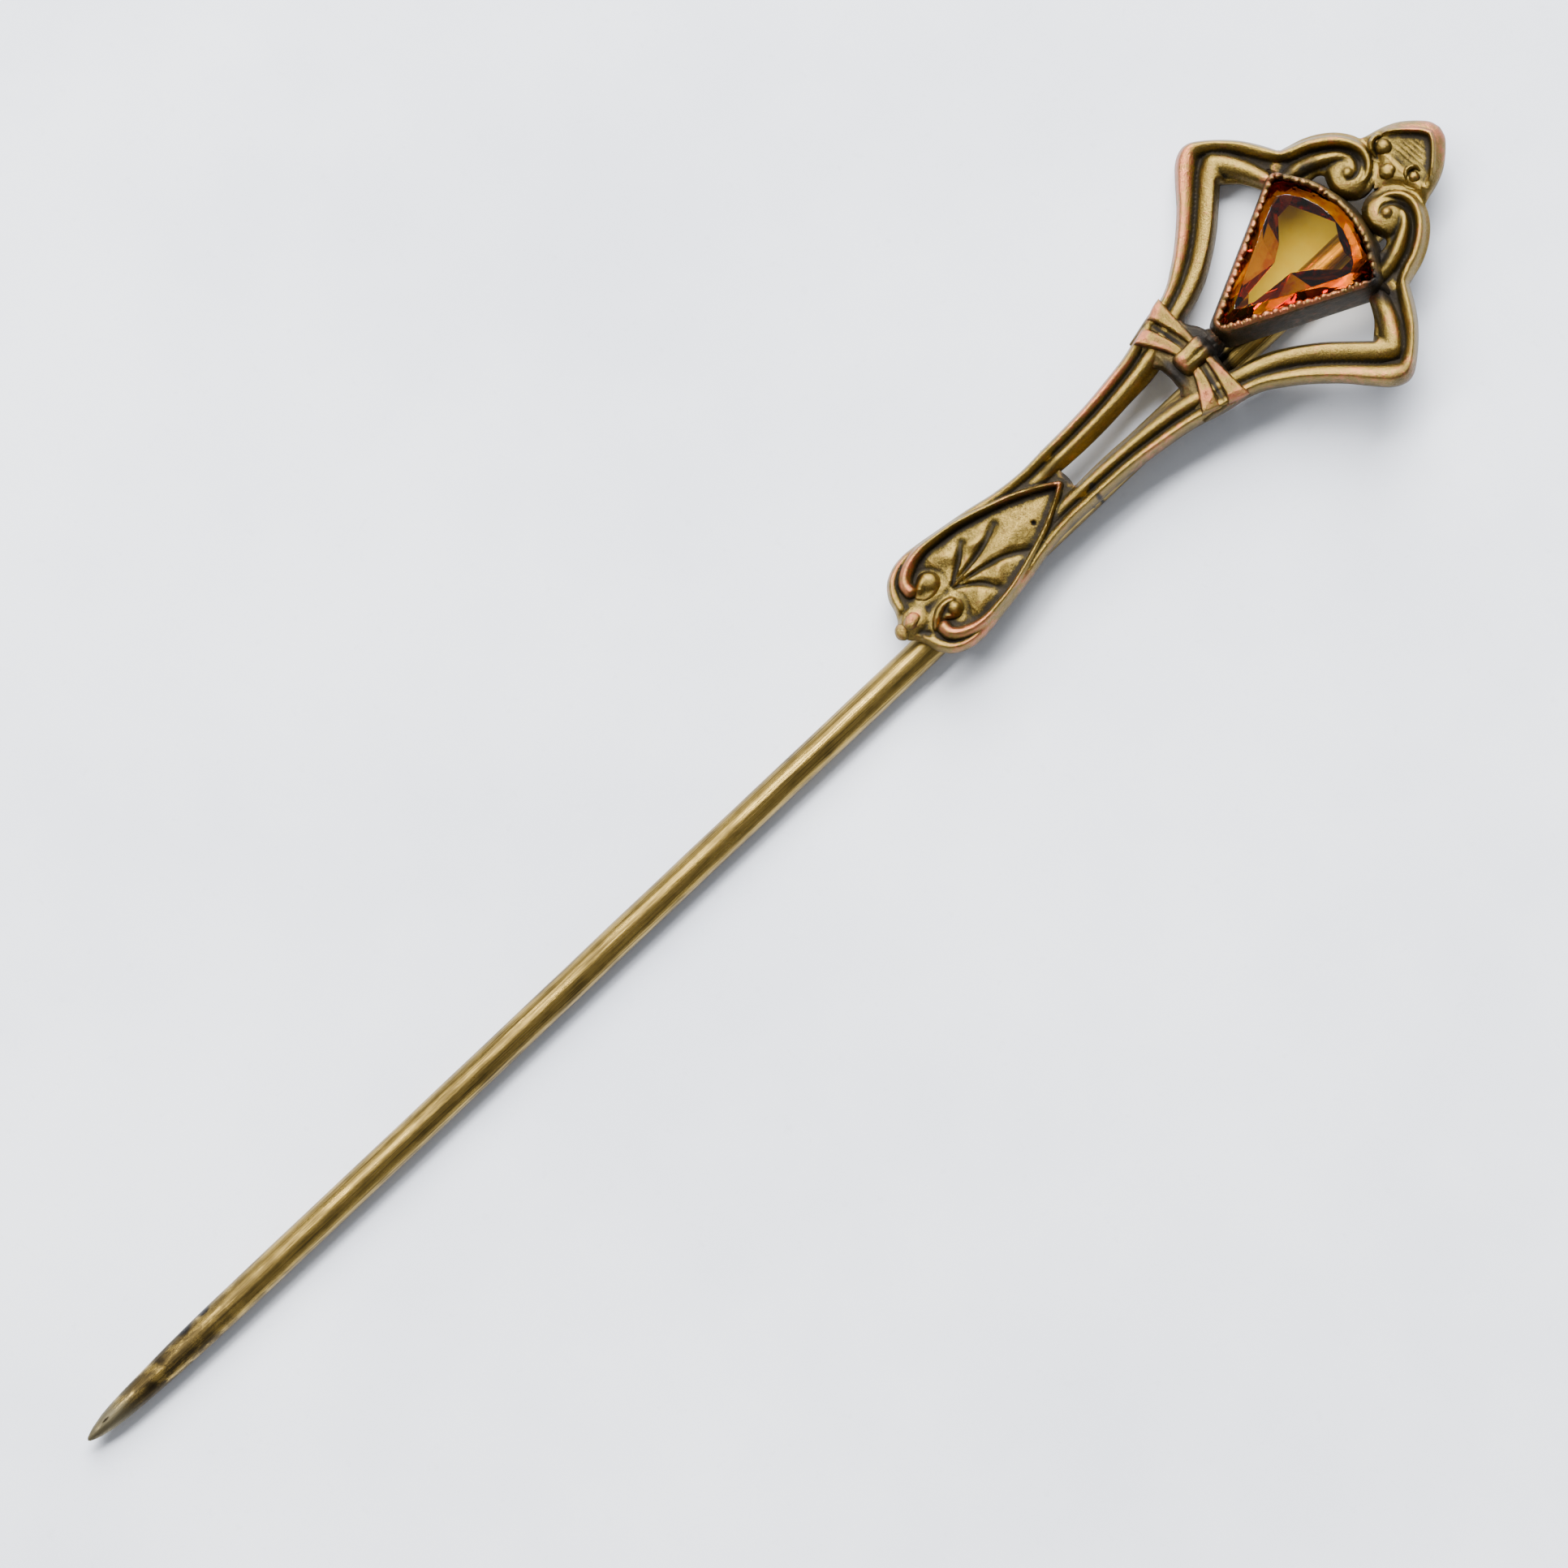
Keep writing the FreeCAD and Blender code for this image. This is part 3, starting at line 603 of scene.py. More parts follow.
def amber(name):
    """Yellow glass with fine scuffs. The faces marked flank get a deeper orange glass, painted to stand in
    for the deeper colour light takes on its longer way through the stone.
    """
    n = Nodes(name)
    scuff = n.noise(n.place(), 26.0, 3.0, 0.7)
    cloud = n.noise(n.place(), 1.6, 3.0, 0.6)
    tint = n.mix(n.span(cloud, 0.35, 0.7), colour(255, 248, 206), colour(252, 238, 176))
    rough = n.span(scuff, 0.55, 0.8, 0.0, 0.04)
    clear = {"Base Color": tint, "Roughness": rough, "IOR": GLASS_IOR, "Transmission Weight": 1.0}
    # painted: a deeper orange for the facets, standing in for the colour light takes on its longer way
    # through the stone
    painted_orange = n.mix(n.span(cloud, 0.40, 0.62), colour(214, 152, 14), colour(188, 104, 4))
    painted_orange_glass = n.add("BsdfGlass", {"Color": painted_orange, "Roughness": rough, "IOR": GLASS_IOR})
    glass = n.add("MixShader", {0: n.attribute("flank"), 1: n.add("BsdfPrincipled", clear), 2: painted_orange_glass})
    # light reaches the table through the stone, dimmed and without a coloured pool
    dim = n.add("BsdfTransparent", {"Color": (0.80, 0.78, 0.74, 1.0)})
    path = n.add("LightPath")
    beside = n.math("MAXIMUM", path.outputs["Is Shadow Ray"], path.outputs["Is Diffuse Ray"])
    depth = n.add("VolumeAbsorption", {"Color": (0.985, 0.888, 0.01, 1.0), "Density": 1900.0})
    body = n.add("MixShader", {0: path.outputs["Is Shadow Ray"], 1: depth})
    n.put(n.out.inputs["Volume"], body)
    return n.surface(n.add("MixShader", {0: beside, 1: glass, 2: dim}))


def table_top(name):
    """Pale marbled ground, out of the object's story."""
    n = Nodes(name)
    veil = n.noise(n.place(), 0.055, 5.0, 0.6)
    fleck = n.noise(n.place(), 2.4, 3.0, 0.6)
    base = n.mix(n.span(veil, 0.3, 0.75), colour(224, 229, 240), colour(206, 212, 226))
    base = n.mix(n.span(fleck, 0.6, 0.8, 0.0, 0.12), base, colour(150, 154, 166))
    rough = n.span(fleck, 0.2, 0.8, 0.5, 0.62)
    return n.surface(n.add("BsdfPrincipled", {"Base Color": base, "Roughness": rough}))


# A darker copy of the gilt brass: painted shade for the collet's wall and seat and the bow's plate, which lie
# in the shade of the stone and of the parts around them.
SHADED_GILT = {"gold": colour(86, 74, 46), "olive": colour(54, 46, 30), "brown": colour(30, 25, 18)}
COPPERY = {"gold": colour(112, 92, 52), "olive": colour(54, 44, 28)}
LEAD = {"gold": colour(52, 43, 31), "olive": colour(36, 30, 23), "brown": colour(22, 18, 14)}
LOOKS = {
    "gilt_brass": worn_metal("gilt_brass"),
    "rose_brass": worn_metal("rose_brass", rose_all=0.24, grain=1.5),
    "dark_brass": worn_metal("dark_brass", rosiness=0.2, **SHADED_GILT),
    "copper_rim": worn_metal("copper_rim", rose_all=0.18, **COPPERY),
    "solder": worn_metal("solder", rosiness=0.2, **LEAD),
    "stem_brass": drawn_wire("stem_brass"),
    "amber_glass": amber("amber_glass"),
}


# ---- the pieces


def keep(obj, node, slot):
    """Puts a finished piece on the body in place of its CAD node."""
    mark_wear_and_shade(obj)
    obj.data.materials.clear()
    obj.data.materials.append(LOOKS[slot])
    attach(obj, "root")
    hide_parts(node)


def strike(name, slot, outline, height, **shape):
    """Makes a relief piece and keeps it."""
    keep(relief(name, outline, height, **shape), name, slot)


def both(build):
    """Runs a builder for the right side, then for its mirror image on the left."""
    build("right", 1.0)
    build("left", -1.0)


# ---- head: one surface, shared by its pieces

# Outlines of the right side. The left side mirrors them.
RAIL_OUTER = [
    (3.02, 2.14), (3.55, 1.86), (4.1, 1.5), (4.62, 1.02), (5.05, 0.52), (5.22, 0.25), (5.27, 0),
    (5.2, -0.28), (5.02, -0.56), (4.52, -1.02), (3.95, -1.5), (3.46, -2), (3.02, -2.5), (2.65, -3),
    (2.32, -3.5), (2.12, -4), (1.93, -4.9), (1.62, -6), (1.46, -7), (1.34, -8), (1.28, -9), (1.25, -10),
]
RAIL_INNER = [
    (0.33, -10), (0.3, -9), (0.32, -8), (0.39, -7), (0.5, -5.6), (0.84, -4.5), (1.1, -3.8), (1.3, -3.1),
    (1.55, -2.5), (1.84, -2), (2.18, -1.5), (2.57, -1), (3.03, -0.5), (3.55, 0.05), (3.1, 0.52),
    (2.62, 0.8), (2.24, 0.98),
]
SCROLL_EDGE = [
    (3.02, 2.14), (2.92, 2.5), (2.78, 2.96), (2.52, 3.45), (2.18, 3.86), (1.8, 4.14), (1.5, 4.27), (1, 4.3),
    (0.46, 4.06), (0.12, 3.62), (0.03, 3.15), (0.16, 2.78), (0.46, 2.52), (0.88, 2.43), (1.22, 2.52),
    (1.44, 2.6), (1.58, 2.48), (1.62, 2.25), (1.66, 1.95), (2.24, 0.98),
]
CREST_EDGE = [
    (1.5, 4.27), (1.42, 4.5), (1.35, 4.78), (1.24, 5.12), (1.04, 5.52), (0.68, 5.95), (0.34, 6.24),
    (0, 6.34),
]
CREST_FOOT = [(1.5, 4.27), (1, 4.3), (0.46, 4.06), (0.12, 3.62), (0, 3.45)]
RAIL_TO_SCROLL = [(3.02, 2.14), (2.24, 0.98)]
RAIL_TO_LEAF = [(1.25, -10), (0.33, -10)]

# From the hook in the volute over the arm, round the shoulder, down the leg and along the leaf.
OUTER_REED = [
    (0.62, 2.98), (0.47, 3.1), (0.4, 3.34), (0.5, 3.66), (0.78, 3.94), (1.14, 4.04), (1.56, 3.93),
    (1.94, 3.65), (2.25, 3.28), (2.5, 2.84), (2.66, 2.42), (2.88, 2.08), (3.2, 1.82), (3.62, 1.58),
    (4.28, 1.15), (4.7, 0.74), (4.95, 0.34), (4.99, 0.04), (4.82, -0.28), (4.4, -0.74), (3.87, -1.24),
    (3.35, -1.78), (2.88, -2.34), (2.45, -2.95), (2.14, -3.5), (1.94, -4), (1.74, -4.9), (1.46, -6),
    (1.29, -7), (1.16, -8), (1.1, -9), (1.07, -10), (1.06, -11), (1.16, -12), (1.37, -13), (1.55, -14),
    (1.7, -15), (1.73, -15.5), (1.64, -16), (1.4, -16.38), (1.04, -16.62), (0.66, -16.74),
]
INNER_REED = [
    (2.1, 1.5), (2.42, 1.28), (2.86, 1.1), (3.42, 0.86), (3.88, 0.58), (4.14, 0.34), (3.88, -0.04),
    (3.32, -0.62), (2.84, -1.16), (2.36, -1.78), (1.96, -2.46), (1.68, -3.1), (1.44, -3.8), (1.14, -4.9),
    (0.88, -6), (0.75, -7), (0.68, -8), (0.64, -9), (0.62, -10), (0.6, -10.6), (0.66, -11.2), (0.86, -11.8),
]
VALLEY = [
    (2.3, 1.8), (2.7, 1.56), (3.3, 1.28), (3.92, 0.92), (4.32, 0.62), (4.58, 0.26), (4.34, -0.14),
    (3.88, -0.64), (3.38, -1.18), (2.88, -1.76), (2.44, -2.36), (2.06, -3), (1.79, -3.62), (1.42, -4.9),
    (1.16, -6), (1.01, -7), (0.9, -8), (0.86, -9), (0.84, -10), (0.83, -10.7), (0.9, -11.4),
]
ARM_RIDGE = [
    (2.24, 1.4), (2.18, 1.9), (2.06, 2.36), (1.92, 2.72), (1.76, 3.02), (1.56, 3.32), (1.3, 3.52),
    (1.06, 3.57), (0.92, 3.5),
]
ARM_VALLEY = [
    (2.5, 2.1), (2.42, 2.5), (2.22, 2.92), (1.98, 3.24), (1.68, 3.54), (1.38, 3.71), (1.1, 3.72),
    (0.84, 3.58), (0.7, 3.38), (0.68, 3.18), (0.76, 3.04),
]
VOLUTE = (0.85, 3.02)
EYE = (0.90, 3.16)
MITRE = 5  # the point of INNER_REED and VALLEY at the shoulder's sharp bend

# half widths and heights of the reeds, from their first point to their last
OUTER_PLACES = [0, 0.10, 0.22, 0.30, 0.52, 0.60, 0.72, 0.78, 0.92, 1.0]
OUTER_WIDTHS = [0.10, 0.20, 0.30, 0.40, 0.38, 0.31, 0.27, 0.24, 0.20, 0.18]
OUTER_HALF = np.interp(np.linspace(0, 1, 60), OUTER_PLACES, OUTER_WIDTHS)
HIGH_PLACES = [0, 0.10, 0.22, 0.72, 0.80, 1.0]
OUTER_HIGH = np.interp(np.linspace(0, 1, 60), HIGH_PLACES, [0.16, 0.30, 0.36, 0.36, 0.18, 0.12])
INNER_HALF = [0.20, 0.40, 0.50, 0.42, 0.38, 0.30, 0.26, 0.24, 0.22]
INNER_HIGH = [0.26, 0.33, 0.34, 0.34, 0.34, 0.33, 0.32, 0.30, 0.04]
ARM_HALF = [0.20, 0.27, 0.26, 0.22, 0.12]
ARM_HIGH = [0.20, 0.32, 0.34, 0.30, 0.06]

outer_reed = curve(OUTER_REED)
inner_reed = curve(INNER_REED, corners=(MITRE,))
valley = curve(VALLEY, corners=(MITRE,))
arm_ridge = curve(ARM_RIDGE)
arm_valley = curve(ARM_VALLEY)


def head_surface(P):
    """Height of the rails and scrolls, the same on both sides but for the tool's unevenness."""
    Q = unsided(P)
    arm = rise(Q[:, 1], 1.75, 2.25)
    z = either(np.full(len(P), 0.46), dome(Q, *VOLUTE, 0.72, 0.36, 0.42), 0.05)
    z = either(z, cord(Q, outer_reed, OUTER_HALF, 0.46, OUTER_HIGH), 0.05)
    z = either(z, cord(Q, inner_reed, INNER_HALF, 0.46, INNER_HIGH) - 0.3 * arm, 0.05)
    z = either(z, cord(Q, arm_ridge, ARM_HALF, 0.44, ARM_HIGH), 0.04)
    z -= cut(Q, valley, 0.09, [0.02, 0.04, 0.04, 0.04, 0.04, 0.04, 0.02]) * (1 - arm)
    z -= cut(Q, arm_valley, [0.09, 0.09, 0.09, 0.08, 0.07], [0.07, 0.12, 0.15, 0.18, 0.16, 0.08])
    z = either(z, dome(Q, *EYE, 0.21, 0.58, 0.30), 0.05)
    return z + 0.006 * waves(P, 0.9, 11)


crest_foot = curve(CREST_FOOT)


def rail(side, way):
    outline = np.vstack([curve(RAIL_OUTER, corners=(0,)), curve(RAIL_INNER, corners=(13,))])
    joints = [on_side(way, RAIL_TO_SCROLL), on_side(way, RAIL_TO_LEAF)]
    shape = {"lip": 0.34, "roll": 0.20, "flush": joints}
    strike("rail_" + side, "gilt_brass", on_side(way, outline), head_surface, **shape)


def scroll(side, way):
    outline = np.vstack([curve(SCROLL_EDGE, corners=(0, 6, 19)), [(2.24, 0.98)]])
    joints = [on_side(way, RAIL_TO_SCROLL), on_side(way, crest_foot)]
    shape = {"lip": 0.34, "roll": 0.24, "step": 0.036, "flush": joints}
    strike("scroll_" + side, "gilt_brass", on_side(way, outline), head_surface, **shape)


both(rail)
both(scroll)

# ---- crest

CREST_RIM = [(1.2, 4.72), (1.02, 5.02), (0.86, 5.22), (0.6, 5.5), (0.24, 5.82), (0, 5.94)]
CREST_RIM_HALF = [0.04, 0.08, 0.09, 0.10, 0.09, 0.08, 0.04]
CREST_RIM_HIGH = [0.06, 0.13, 0.14, 0.15, 0.14, 0.13, 0.06]
HATCH = (4.62, 4.80, 4.97, 5.12, 5.27, 5.42)
crest_rim = both_halves(curve(CREST_RIM))
crest_field = np.vstack([crest_rim, [(-0.95, 4.40), (0.95, 4.40)]])
foot_heights = head_surface(even(crest_foot, 80))


def crest_surface(P):
    """A raised rim round a sunk, hatched panel, running into the scrolls at its foot."""
    y = P[:, 1]
    z = 0.74 - 0.02 * rise(y, 5.0, 6.0)
    away, _ = nearest(P, crest_rim)
    hollow = 0.17 * rise(away, 0, 0.16) * rise(y, 4.35, 4.70)
    z = np.where(inside(P, crest_field), z - hollow, z - 0.05 * rise(away, 0, 0.4))
    z = either(z, cord(P, crest_rim, CREST_RIM_HALF, 0.70, CREST_RIM_HIGH), 0.02)
    for level in HATCH:
        reach = min(0.62, (5.86 - level) * 0.80)
        line = [(-reach, level - 0.05), (0.0, level + 0.015), (reach, level + 0.05)]
        z -= cut(P, curve(line), 0.030, [0.0, 0.028, 0.034, 0.022, 0.0])
    foot = np.clip((4.55 - y) / 0.5, 0, 1)
    z = z * (1 - foot) + (0.62 - 0.10 * np.clip((4.1 - y) / 0.6, 0, 1)) * foot
    gap, along_foot = nearest(unsided(P), crest_foot)
    share = np.clip(1 - gap / 0.22, 0, 1)
    share = share * share * (3 - 2 * share)
    return z * (1 - share) + along(along_foot, foot_heights) * share + 0.005 * waves(P, 0.7, 31)


def crest():
    foot = crest_foot[1:-1]
    outline = np.vstack([both_halves(curve(CREST_EDGE)), on_side(-1, foot), crest_foot[-1:], foot[::-1]])
    shape = {"lip": 0.34, "roll": 0.46, "step": 0.034, "flush": [crest_foot, on_side(-1, crest_foot)]}
    strike("crest_plate", "gilt_brass", outline, crest_surface, **shape)


# Each side's curl: middle and radius of its ground, its hook, and its button (x, y, radius, height).
CURLS = {
    "right": (
        (0.62, 4.62, 0.42),
        [(0.62, 4.88), (0.44, 4.86), (0.33, 4.7), (0.36, 4.52), (0.52, 4.4), (0.68, 4.4)],
        (0.64, 4.60, 0.20, 0.24),
    ),
    "left": (
        (-0.78, 4.55, 0.50),
        [(-1.02, 4.84), (-1.14, 4.62), (-1.1, 4.4), (-0.94, 4.25), (-0.72, 4.2)],
        (-0.74, 4.58, 0.28, 0.32),
    ),
}


def crest_curl(side, way):
    (x, y, wide), hook, (button_x, button_y, radius, high) = CURLS[side]
    angles = np.linspace(0, 2 * math.pi, 60, endpoint=False)
    ring = np.column_stack([x + wide * np.cos(angles), y + wide * np.sin(angles)])
    path = curve(hook)

    def height(P):
        z = cord(P, path, [0.05, 0.12, 0.13, 0.10, 0.05], 0.52, [0.08, 0.27, 0.30, 0.24, 0.06])
        z = either(np.full(len(P), 0.50), z, 0.03)
        z = either(z, dome(P, button_x, button_y, radius, 0.54, high), 0.03)
        return z + 0.005 * waves(P, 0.4, 41)

    strike("crest_curl_" + side, "gilt_brass", ring, height, lip=0.10, roll=0.10, step=0.026, floor=0.42)


def bead(name, slot, middle, radii, flat, seed):
    """A grain of metal, a little out of round and worn flat on top."""
    bm = bmesh.new()
    bmesh.ops.create_icosphere(bm, subdivisions=4, radius=1.0)
    random = np.random.default_rng(seed)
    lobes = [(random.normal(size=3), random.uniform(0, 6)) for _ in range(5)]
    verts = []
    for v in bm.verts:
        p = np.array(v.co)
        p *= 1 + 0.025 * sum(math.sin(2.2 * way.dot(p) + phase) for way, phase in lobes)
        p[2] -= (1 - flat) * max(p[2], 0) ** 4
        verts.append(middle + p * radii)
    faces = [tuple(v.index for v in f.verts) for f in bm.faces]
    bm.free()
    keep(finish_mesh(name, verts, faces), name, slot)


crest()
both(crest_curl)
bead("crest_bead", "gilt_brass", (-0.07, 4.13, 0.62), (0.25, 0.28, 0.28), flat=0.80, seed=3)

# ---- bow

BOW_EDGE = [
    (2.14, -3.96), (1.98, -4.75), (1.76, -5.62), (1.3, -5.66), (0.62, -5.6), (0.44, -5.46), (0, -5.42),
]
BOW_CROWN = [
    (-1.3, -3.9), (-0.95, -3.84), (-0.62, -3.62), (-0.3, -3.52), (0.3, -3.52), (0.42, -3.8), (1, -3.94),
]
LOOP = [
    (0.3, -4.26), (0.3, -3.99), (1.2, -3.98), (2.14, -3.95), (2.08, -4.24), (1.9, -4.68), (1.62, -4.56),
    (1.2, -4.44), (0.7, -4.32),
]
TAIL = [
    (0.3, -4.8), (0.3, -4.5), (0.75, -4.56), (1.22, -4.7), (1.78, -4.93), (1.72, -5.25), (1.6, -5.56),
    (1.24, -5.32), (0.8, -5.04),
]
KNOT = [
    (-0.4, -3.86), (0, -3.74), (0.38, -3.82), (0.4, -4.45), (0.38, -4.96), (0, -5.08), (-0.38, -5),
    (-0.42, -4.45),
]


def bow_plate():
    outline = np.vstack([both_halves(np.array(BOW_EDGE)), curve(BOW_CROWN)])
    rib = curve([(0.34, -4.34), (1.0, -4.50), (1.9, -4.78)])

    def height(P):
        z = 0.74 + 0.03 * np.cos(P[:, 0] * 2)
        z = either(z, cord(unsided(P), rib, [0.14, 0.15, 0.16], 0.70, [0.05, 0.07, 0.07]), 0.04)
        z -= 0.12 * np.clip((-5.25 - P[:, 1]) / 0.3, 0, 1)
        return z + 0.01 * waves(P, 0.5, 51)

    strike("bow_plate", "dark_brass", outline, height, lip=0.22, roll=0.14, floor=0.30)


def ribbon(side, way):
    def flap(P, end, slope, sag, middle, seed):
        """It swells away from the knot, turns down at its end and sags towards its upper edge."""
        x, y = np.abs(P[:, 0]), P[:, 1]
        z = 0.92 + 0.12 * np.clip((x - 0.4) / (end - 0.4), 0, 1) ** 0.8
        z -= 0.55 * np.clip(x - end - slope * (y + 4.6), 0, None)
        z += 0.010 * waves(P, 0.45, seed + int(way))
        return z - sag * np.clip((y - middle) / 0.3, -0.5, 0.5)

    def loop_height(P):
        return flap(P, 1.66, 0.45, 0.10, -4.12, 52)

    def tail_height(P):
        return flap(P, 1.34, -0.25, 0.06, -4.9, 56)

    shape = {"lip": 0.16, "roll": 0.09, "step": 0.03, "floor": 0.62}
    loop = on_side(way, curve(LOOP, corners=(0, 1, 3, 5), closed=True))
    tail = on_side(way, curve(TAIL, corners=(0, 1, 4, 6), closed=True))
    strike("bow_loop_" + side, "rose_brass", loop, loop_height, **shape)
    strike("bow_tail_" + side, "rose_brass", tail, tail_height, **shape)


def bow_knot():
    def height(P):
        x, y = P[:, 0], P[:, 1]
        across = (x + 0.10) / 0.54
        z = 0.78 + 0.48 * np.sqrt(np.clip(1 - across**2, 0.02, 1))
        z -= 0.05 * np.exp(-(((x - 0.10) / 0.07) ** 2)) * rise(y, -4.9, -4.3)
        z -= 0.14 * rise(np.abs(y + 4.42), 0.35, 0.60) ** 2
        return z + 0.014 * waves(P, 0.35, 61)

    outline = curve(KNOT, closed=True)
    strike("bow_knot", "gilt_brass", outline, height, lip=0.2, roll=0.14, step=0.03, floor=0.60)


bow_plate()
both(ribbon)
bow_knot()

# ---- leaf

LEAF_EDGE = [
    (1.25, -10), (1.22, -11), (1.32, -12), (1.52, -13), (1.68, -14), (1.83, -15), (1.87, -15.5), (1.8, -16),
    (1.55, -16.48), (1.12, -16.8), (0.7, -16.92), (0.42, -17.06), (0.26, -17.22), (0, -17.28),
]
LEAF_GAP = [(-0.33, -10), (-0.2, -9.97), (0, -9.955), (0.2, -9.97), (0.33, -10)]
LEAF_RIM = [
    (0, -10.3), (0.16, -10.52), (0.36, -10.86), (0.62, -11.35), (0.86, -11.92), (1.04, -12.45),
    (1.23, -13.05), (1.39, -13.65), (1.5, -14.4), (1.54, -15), (1.47, -15.46), (1.28, -15.88),
    (1.04, -16.1), (0.8, -16.12),
]
BROW = [(0, -15.22), (0.18, -15.06), (0.5, -14.97), (0.86, -15.1), (1.1, -15.4), (1.16, -15.72)]
HUMP = [(0.3, -15.3), (0.26, -15.8), (0.46, -16.3), (0.8, -16.5)]
GROOVES = [
    [(-0.05, -15.05), (-0.1, -14.4), (-0.2, -13.7), (-0.36, -13.15), (-0.56, -12.7)],
    [(-0.04, -15.05), (-0.24, -14.68), (-0.5, -14.26), (-0.82, -13.88)],
    [(0.06, -15.05), (0.14, -14.4), (0.3, -13.6), (0.52, -12.98), (0.84, -12.46)],
    [(0.08, -15.05), (0.3, -14.6), (0.6, -14.24), (1.02, -13.98)],
]
# swollen places between the grooves: x, y, radius, length over radius, turn
PILLOWS = [
    (0.06, -12.7, 0.36, 3.6, 0), (-0.52, -13.6, 0.22, 2.8, -0.42), (0.64, -13.6, 0.24, 2.8, 0.46),
    (-0.8, -14.5, 0.26, 1.8, -0.8), (0.86, -14.6, 0.26, 1.8, 0.8),
]
PIT = (0.32, -11.76)
NICK = (0.58, -16.66)


def leaf_dish(P, rim):
    """The sunk panel inside the leaf's rim, with its grooves."""
    away, _ = nearest(unsided(P), rim)
    dish = 0.40 + 0.09 * rise(away, 0.12, 0.47) ** 0.7
    for x, y, radius, squash, turn in PILLOWS:
        u, v = turned(P, x, y, turn)
        dish += 0.12 * np.exp(-((u / radius) ** 2 + (v / (radius * squash)) ** 2))
    for groove in GROOVES:
        line = curve(groove)
        bank = line + (0.085 if groove[-1][0] < 0 else -0.085, 0.03)
        dish -= cut(P, line, [0.045, 0.08, 0.12, 0.15], [0.08, 0.14, 0.18, 0.12])
        dish += cut(P, bank, 0.035, [0.0, 0.03, 0.04, 0.02])
    low = np.clip((-15.0 - P[:, 1]) / 0.25, 0, 1)
    under, _ = nearest(unsided(P), curve(BROW))
    return dish * (1 - low) + 0.40 * low - 0.03 * np.exp(-((under / 0.06) ** 2))


def leaf():
    rim = curve(LEAF_RIM)
    gap = curve(LEAF_GAP)
    rim_half = [0.10, 0.11, 0.12, 0.125, 0.13, 0.14, 0.17, 0.22, 0.24]
    rim_high = [0.30, 0.31, 0.32, 0.33, 0.34, 0.35, 0.36, 0.34]

    def height(P):
        Q = unsided(P)
        within = inside(P, both_halves(rim)) & (Q[:, 0] < 1.6)
        z = np.where(within, leaf_dish(P, rim), head_surface(P))
        z = either(z, cord(Q, curve(HUMP), [0.36, 0.42, 0.40, 0.26], 0.34, [0.16, 0.20, 0.20, 0.10]), 0.06)
        z = either(z, cord(Q, rim, rim_half, 0.50, rim_high), 0.04)
        z = either(z, dome(P, -0.06, -16.62, 0.44, 0.42, 0.24, squash=1.2), 0.05)
        z -= cut(P, np.array([PIT, (PIT[0] + 0.01, PIT[1])]), 0.06, 0.14)
        z -= cut(P, np.array([NICK, (NICK[0] + 0.02, NICK[1] + 0.02)]), 0.10, 0.12)
        return z + 0.007 * waves(P, 0.8, 71)

    outline = np.vstack([both_halves(curve(LEAF_EDGE)), gap])
    joints = [RAIL_TO_LEAF, on_side(-1, RAIL_TO_LEAF), gap]
    strike("leaf_plaque", "gilt_brass", outline, height, lip=0.28, roll=0.18, step=0.036, flush=joints)


# Each side's volute: outline, ridge, the ridge's half widths and heights, ball (x, y, radius, height).
LEAF_SCROLLS = {
    "right": (
        [
            (0.1, -15.5), (0.2, -15.24), (0.46, -15.12), (0.74, -15.22), (0.86, -15.5), (0.76, -15.76),
            (0.66, -15.92), (0.8, -16.26), (0.72, -16.46), (0.46, -16.44), (0.24, -16.16), (0.1, -15.84),
        ],
        [(0.34, -15.34), (0.28, -15.56), (0.32, -15.86), (0.46, -16.12), (0.62, -16.32)],
        [0.13, 0.16, 0.18, 0.17, 0.13], [0.26, 0.33, 0.35, 0.32, 0.20], (0.56, -15.46, 0.24, 0.28),
    ),
    "left": (
        [
            (-0.16, -15.56), (-0.28, -15.24), (-0.58, -15.1), (-0.9, -15.24), (-1.02, -15.52),
            (-0.9, -15.82), (-0.72, -16.08), (-0.48, -16.24), (-0.24, -16.08), (-0.14, -15.82),
        ],
        [(-0.74, -15.50), (-0.72, -15.66), (-0.62, -15.86), (-0.50, -16.06)],
        [0.20, 0.22, 0.19, 0.13], [0.30, 0.33, 0.28, 0.12], (-0.64, -15.48, 0.36, 0.30),
    ),
}


def leaf_scroll(side, way):
    outline, ridge, wide, high, (ball_x, ball_y, radius, ball_high) = LEAF_SCROLLS[side]
    path = curve(ridge)

    def height(P):
        z = dome(P, 0.46 * way, -15.66, 0.62, 0.42, 0.20)
        z = either(z, cord(P, path, wide, 0.46, high), 0.06)
        z = either(z, dome(P, ball_x, ball_y, radius, 0.48, ball_high), 0.06)
        return z + 0.010 * waves(P, 0.3, 81 + int(way))

    shape = {"lip": 0.12, "roll": 0.14, "step": 0.028, "floor": 0.34}
    strike("leaf_scroll_" + side, "gilt_brass", curve(outline, closed=True), height, **shape)


leaf()
both(leaf_scroll)
bead("leaf_bead", "rose_brass", (-0.07, -16.72, 0.58), (0.23, 0.33, 0.26), flat=0.85, seed=5)
bead("tail_bead", "rose_brass", (-0.05, -17.16, 0.34), (0.28, 0.28, 0.28), flat=0.85, seed=8)

# ---- collet

WALL_HIGH = 1.42
RIM_HIGH = 0.26
# The kite's corners on the right, from tip to top: x, y, rounding, and how far each moves for 1 mm of growth.
KITE = [(0, -3.78, 0.36), (2.52, 1.38, 0.30), (1.35, 2.12, 1.8), (0, 2.44, 3.0)]
SIDE_LEAN = math.atan2(KITE[1][1] - KITE[0][1], KITE[1][0])
GROWTH = [(0, -1 / math.cos(SIDE_LEAN)), (1.05, 0.25), (0.35, 0.95), (0, 1)]


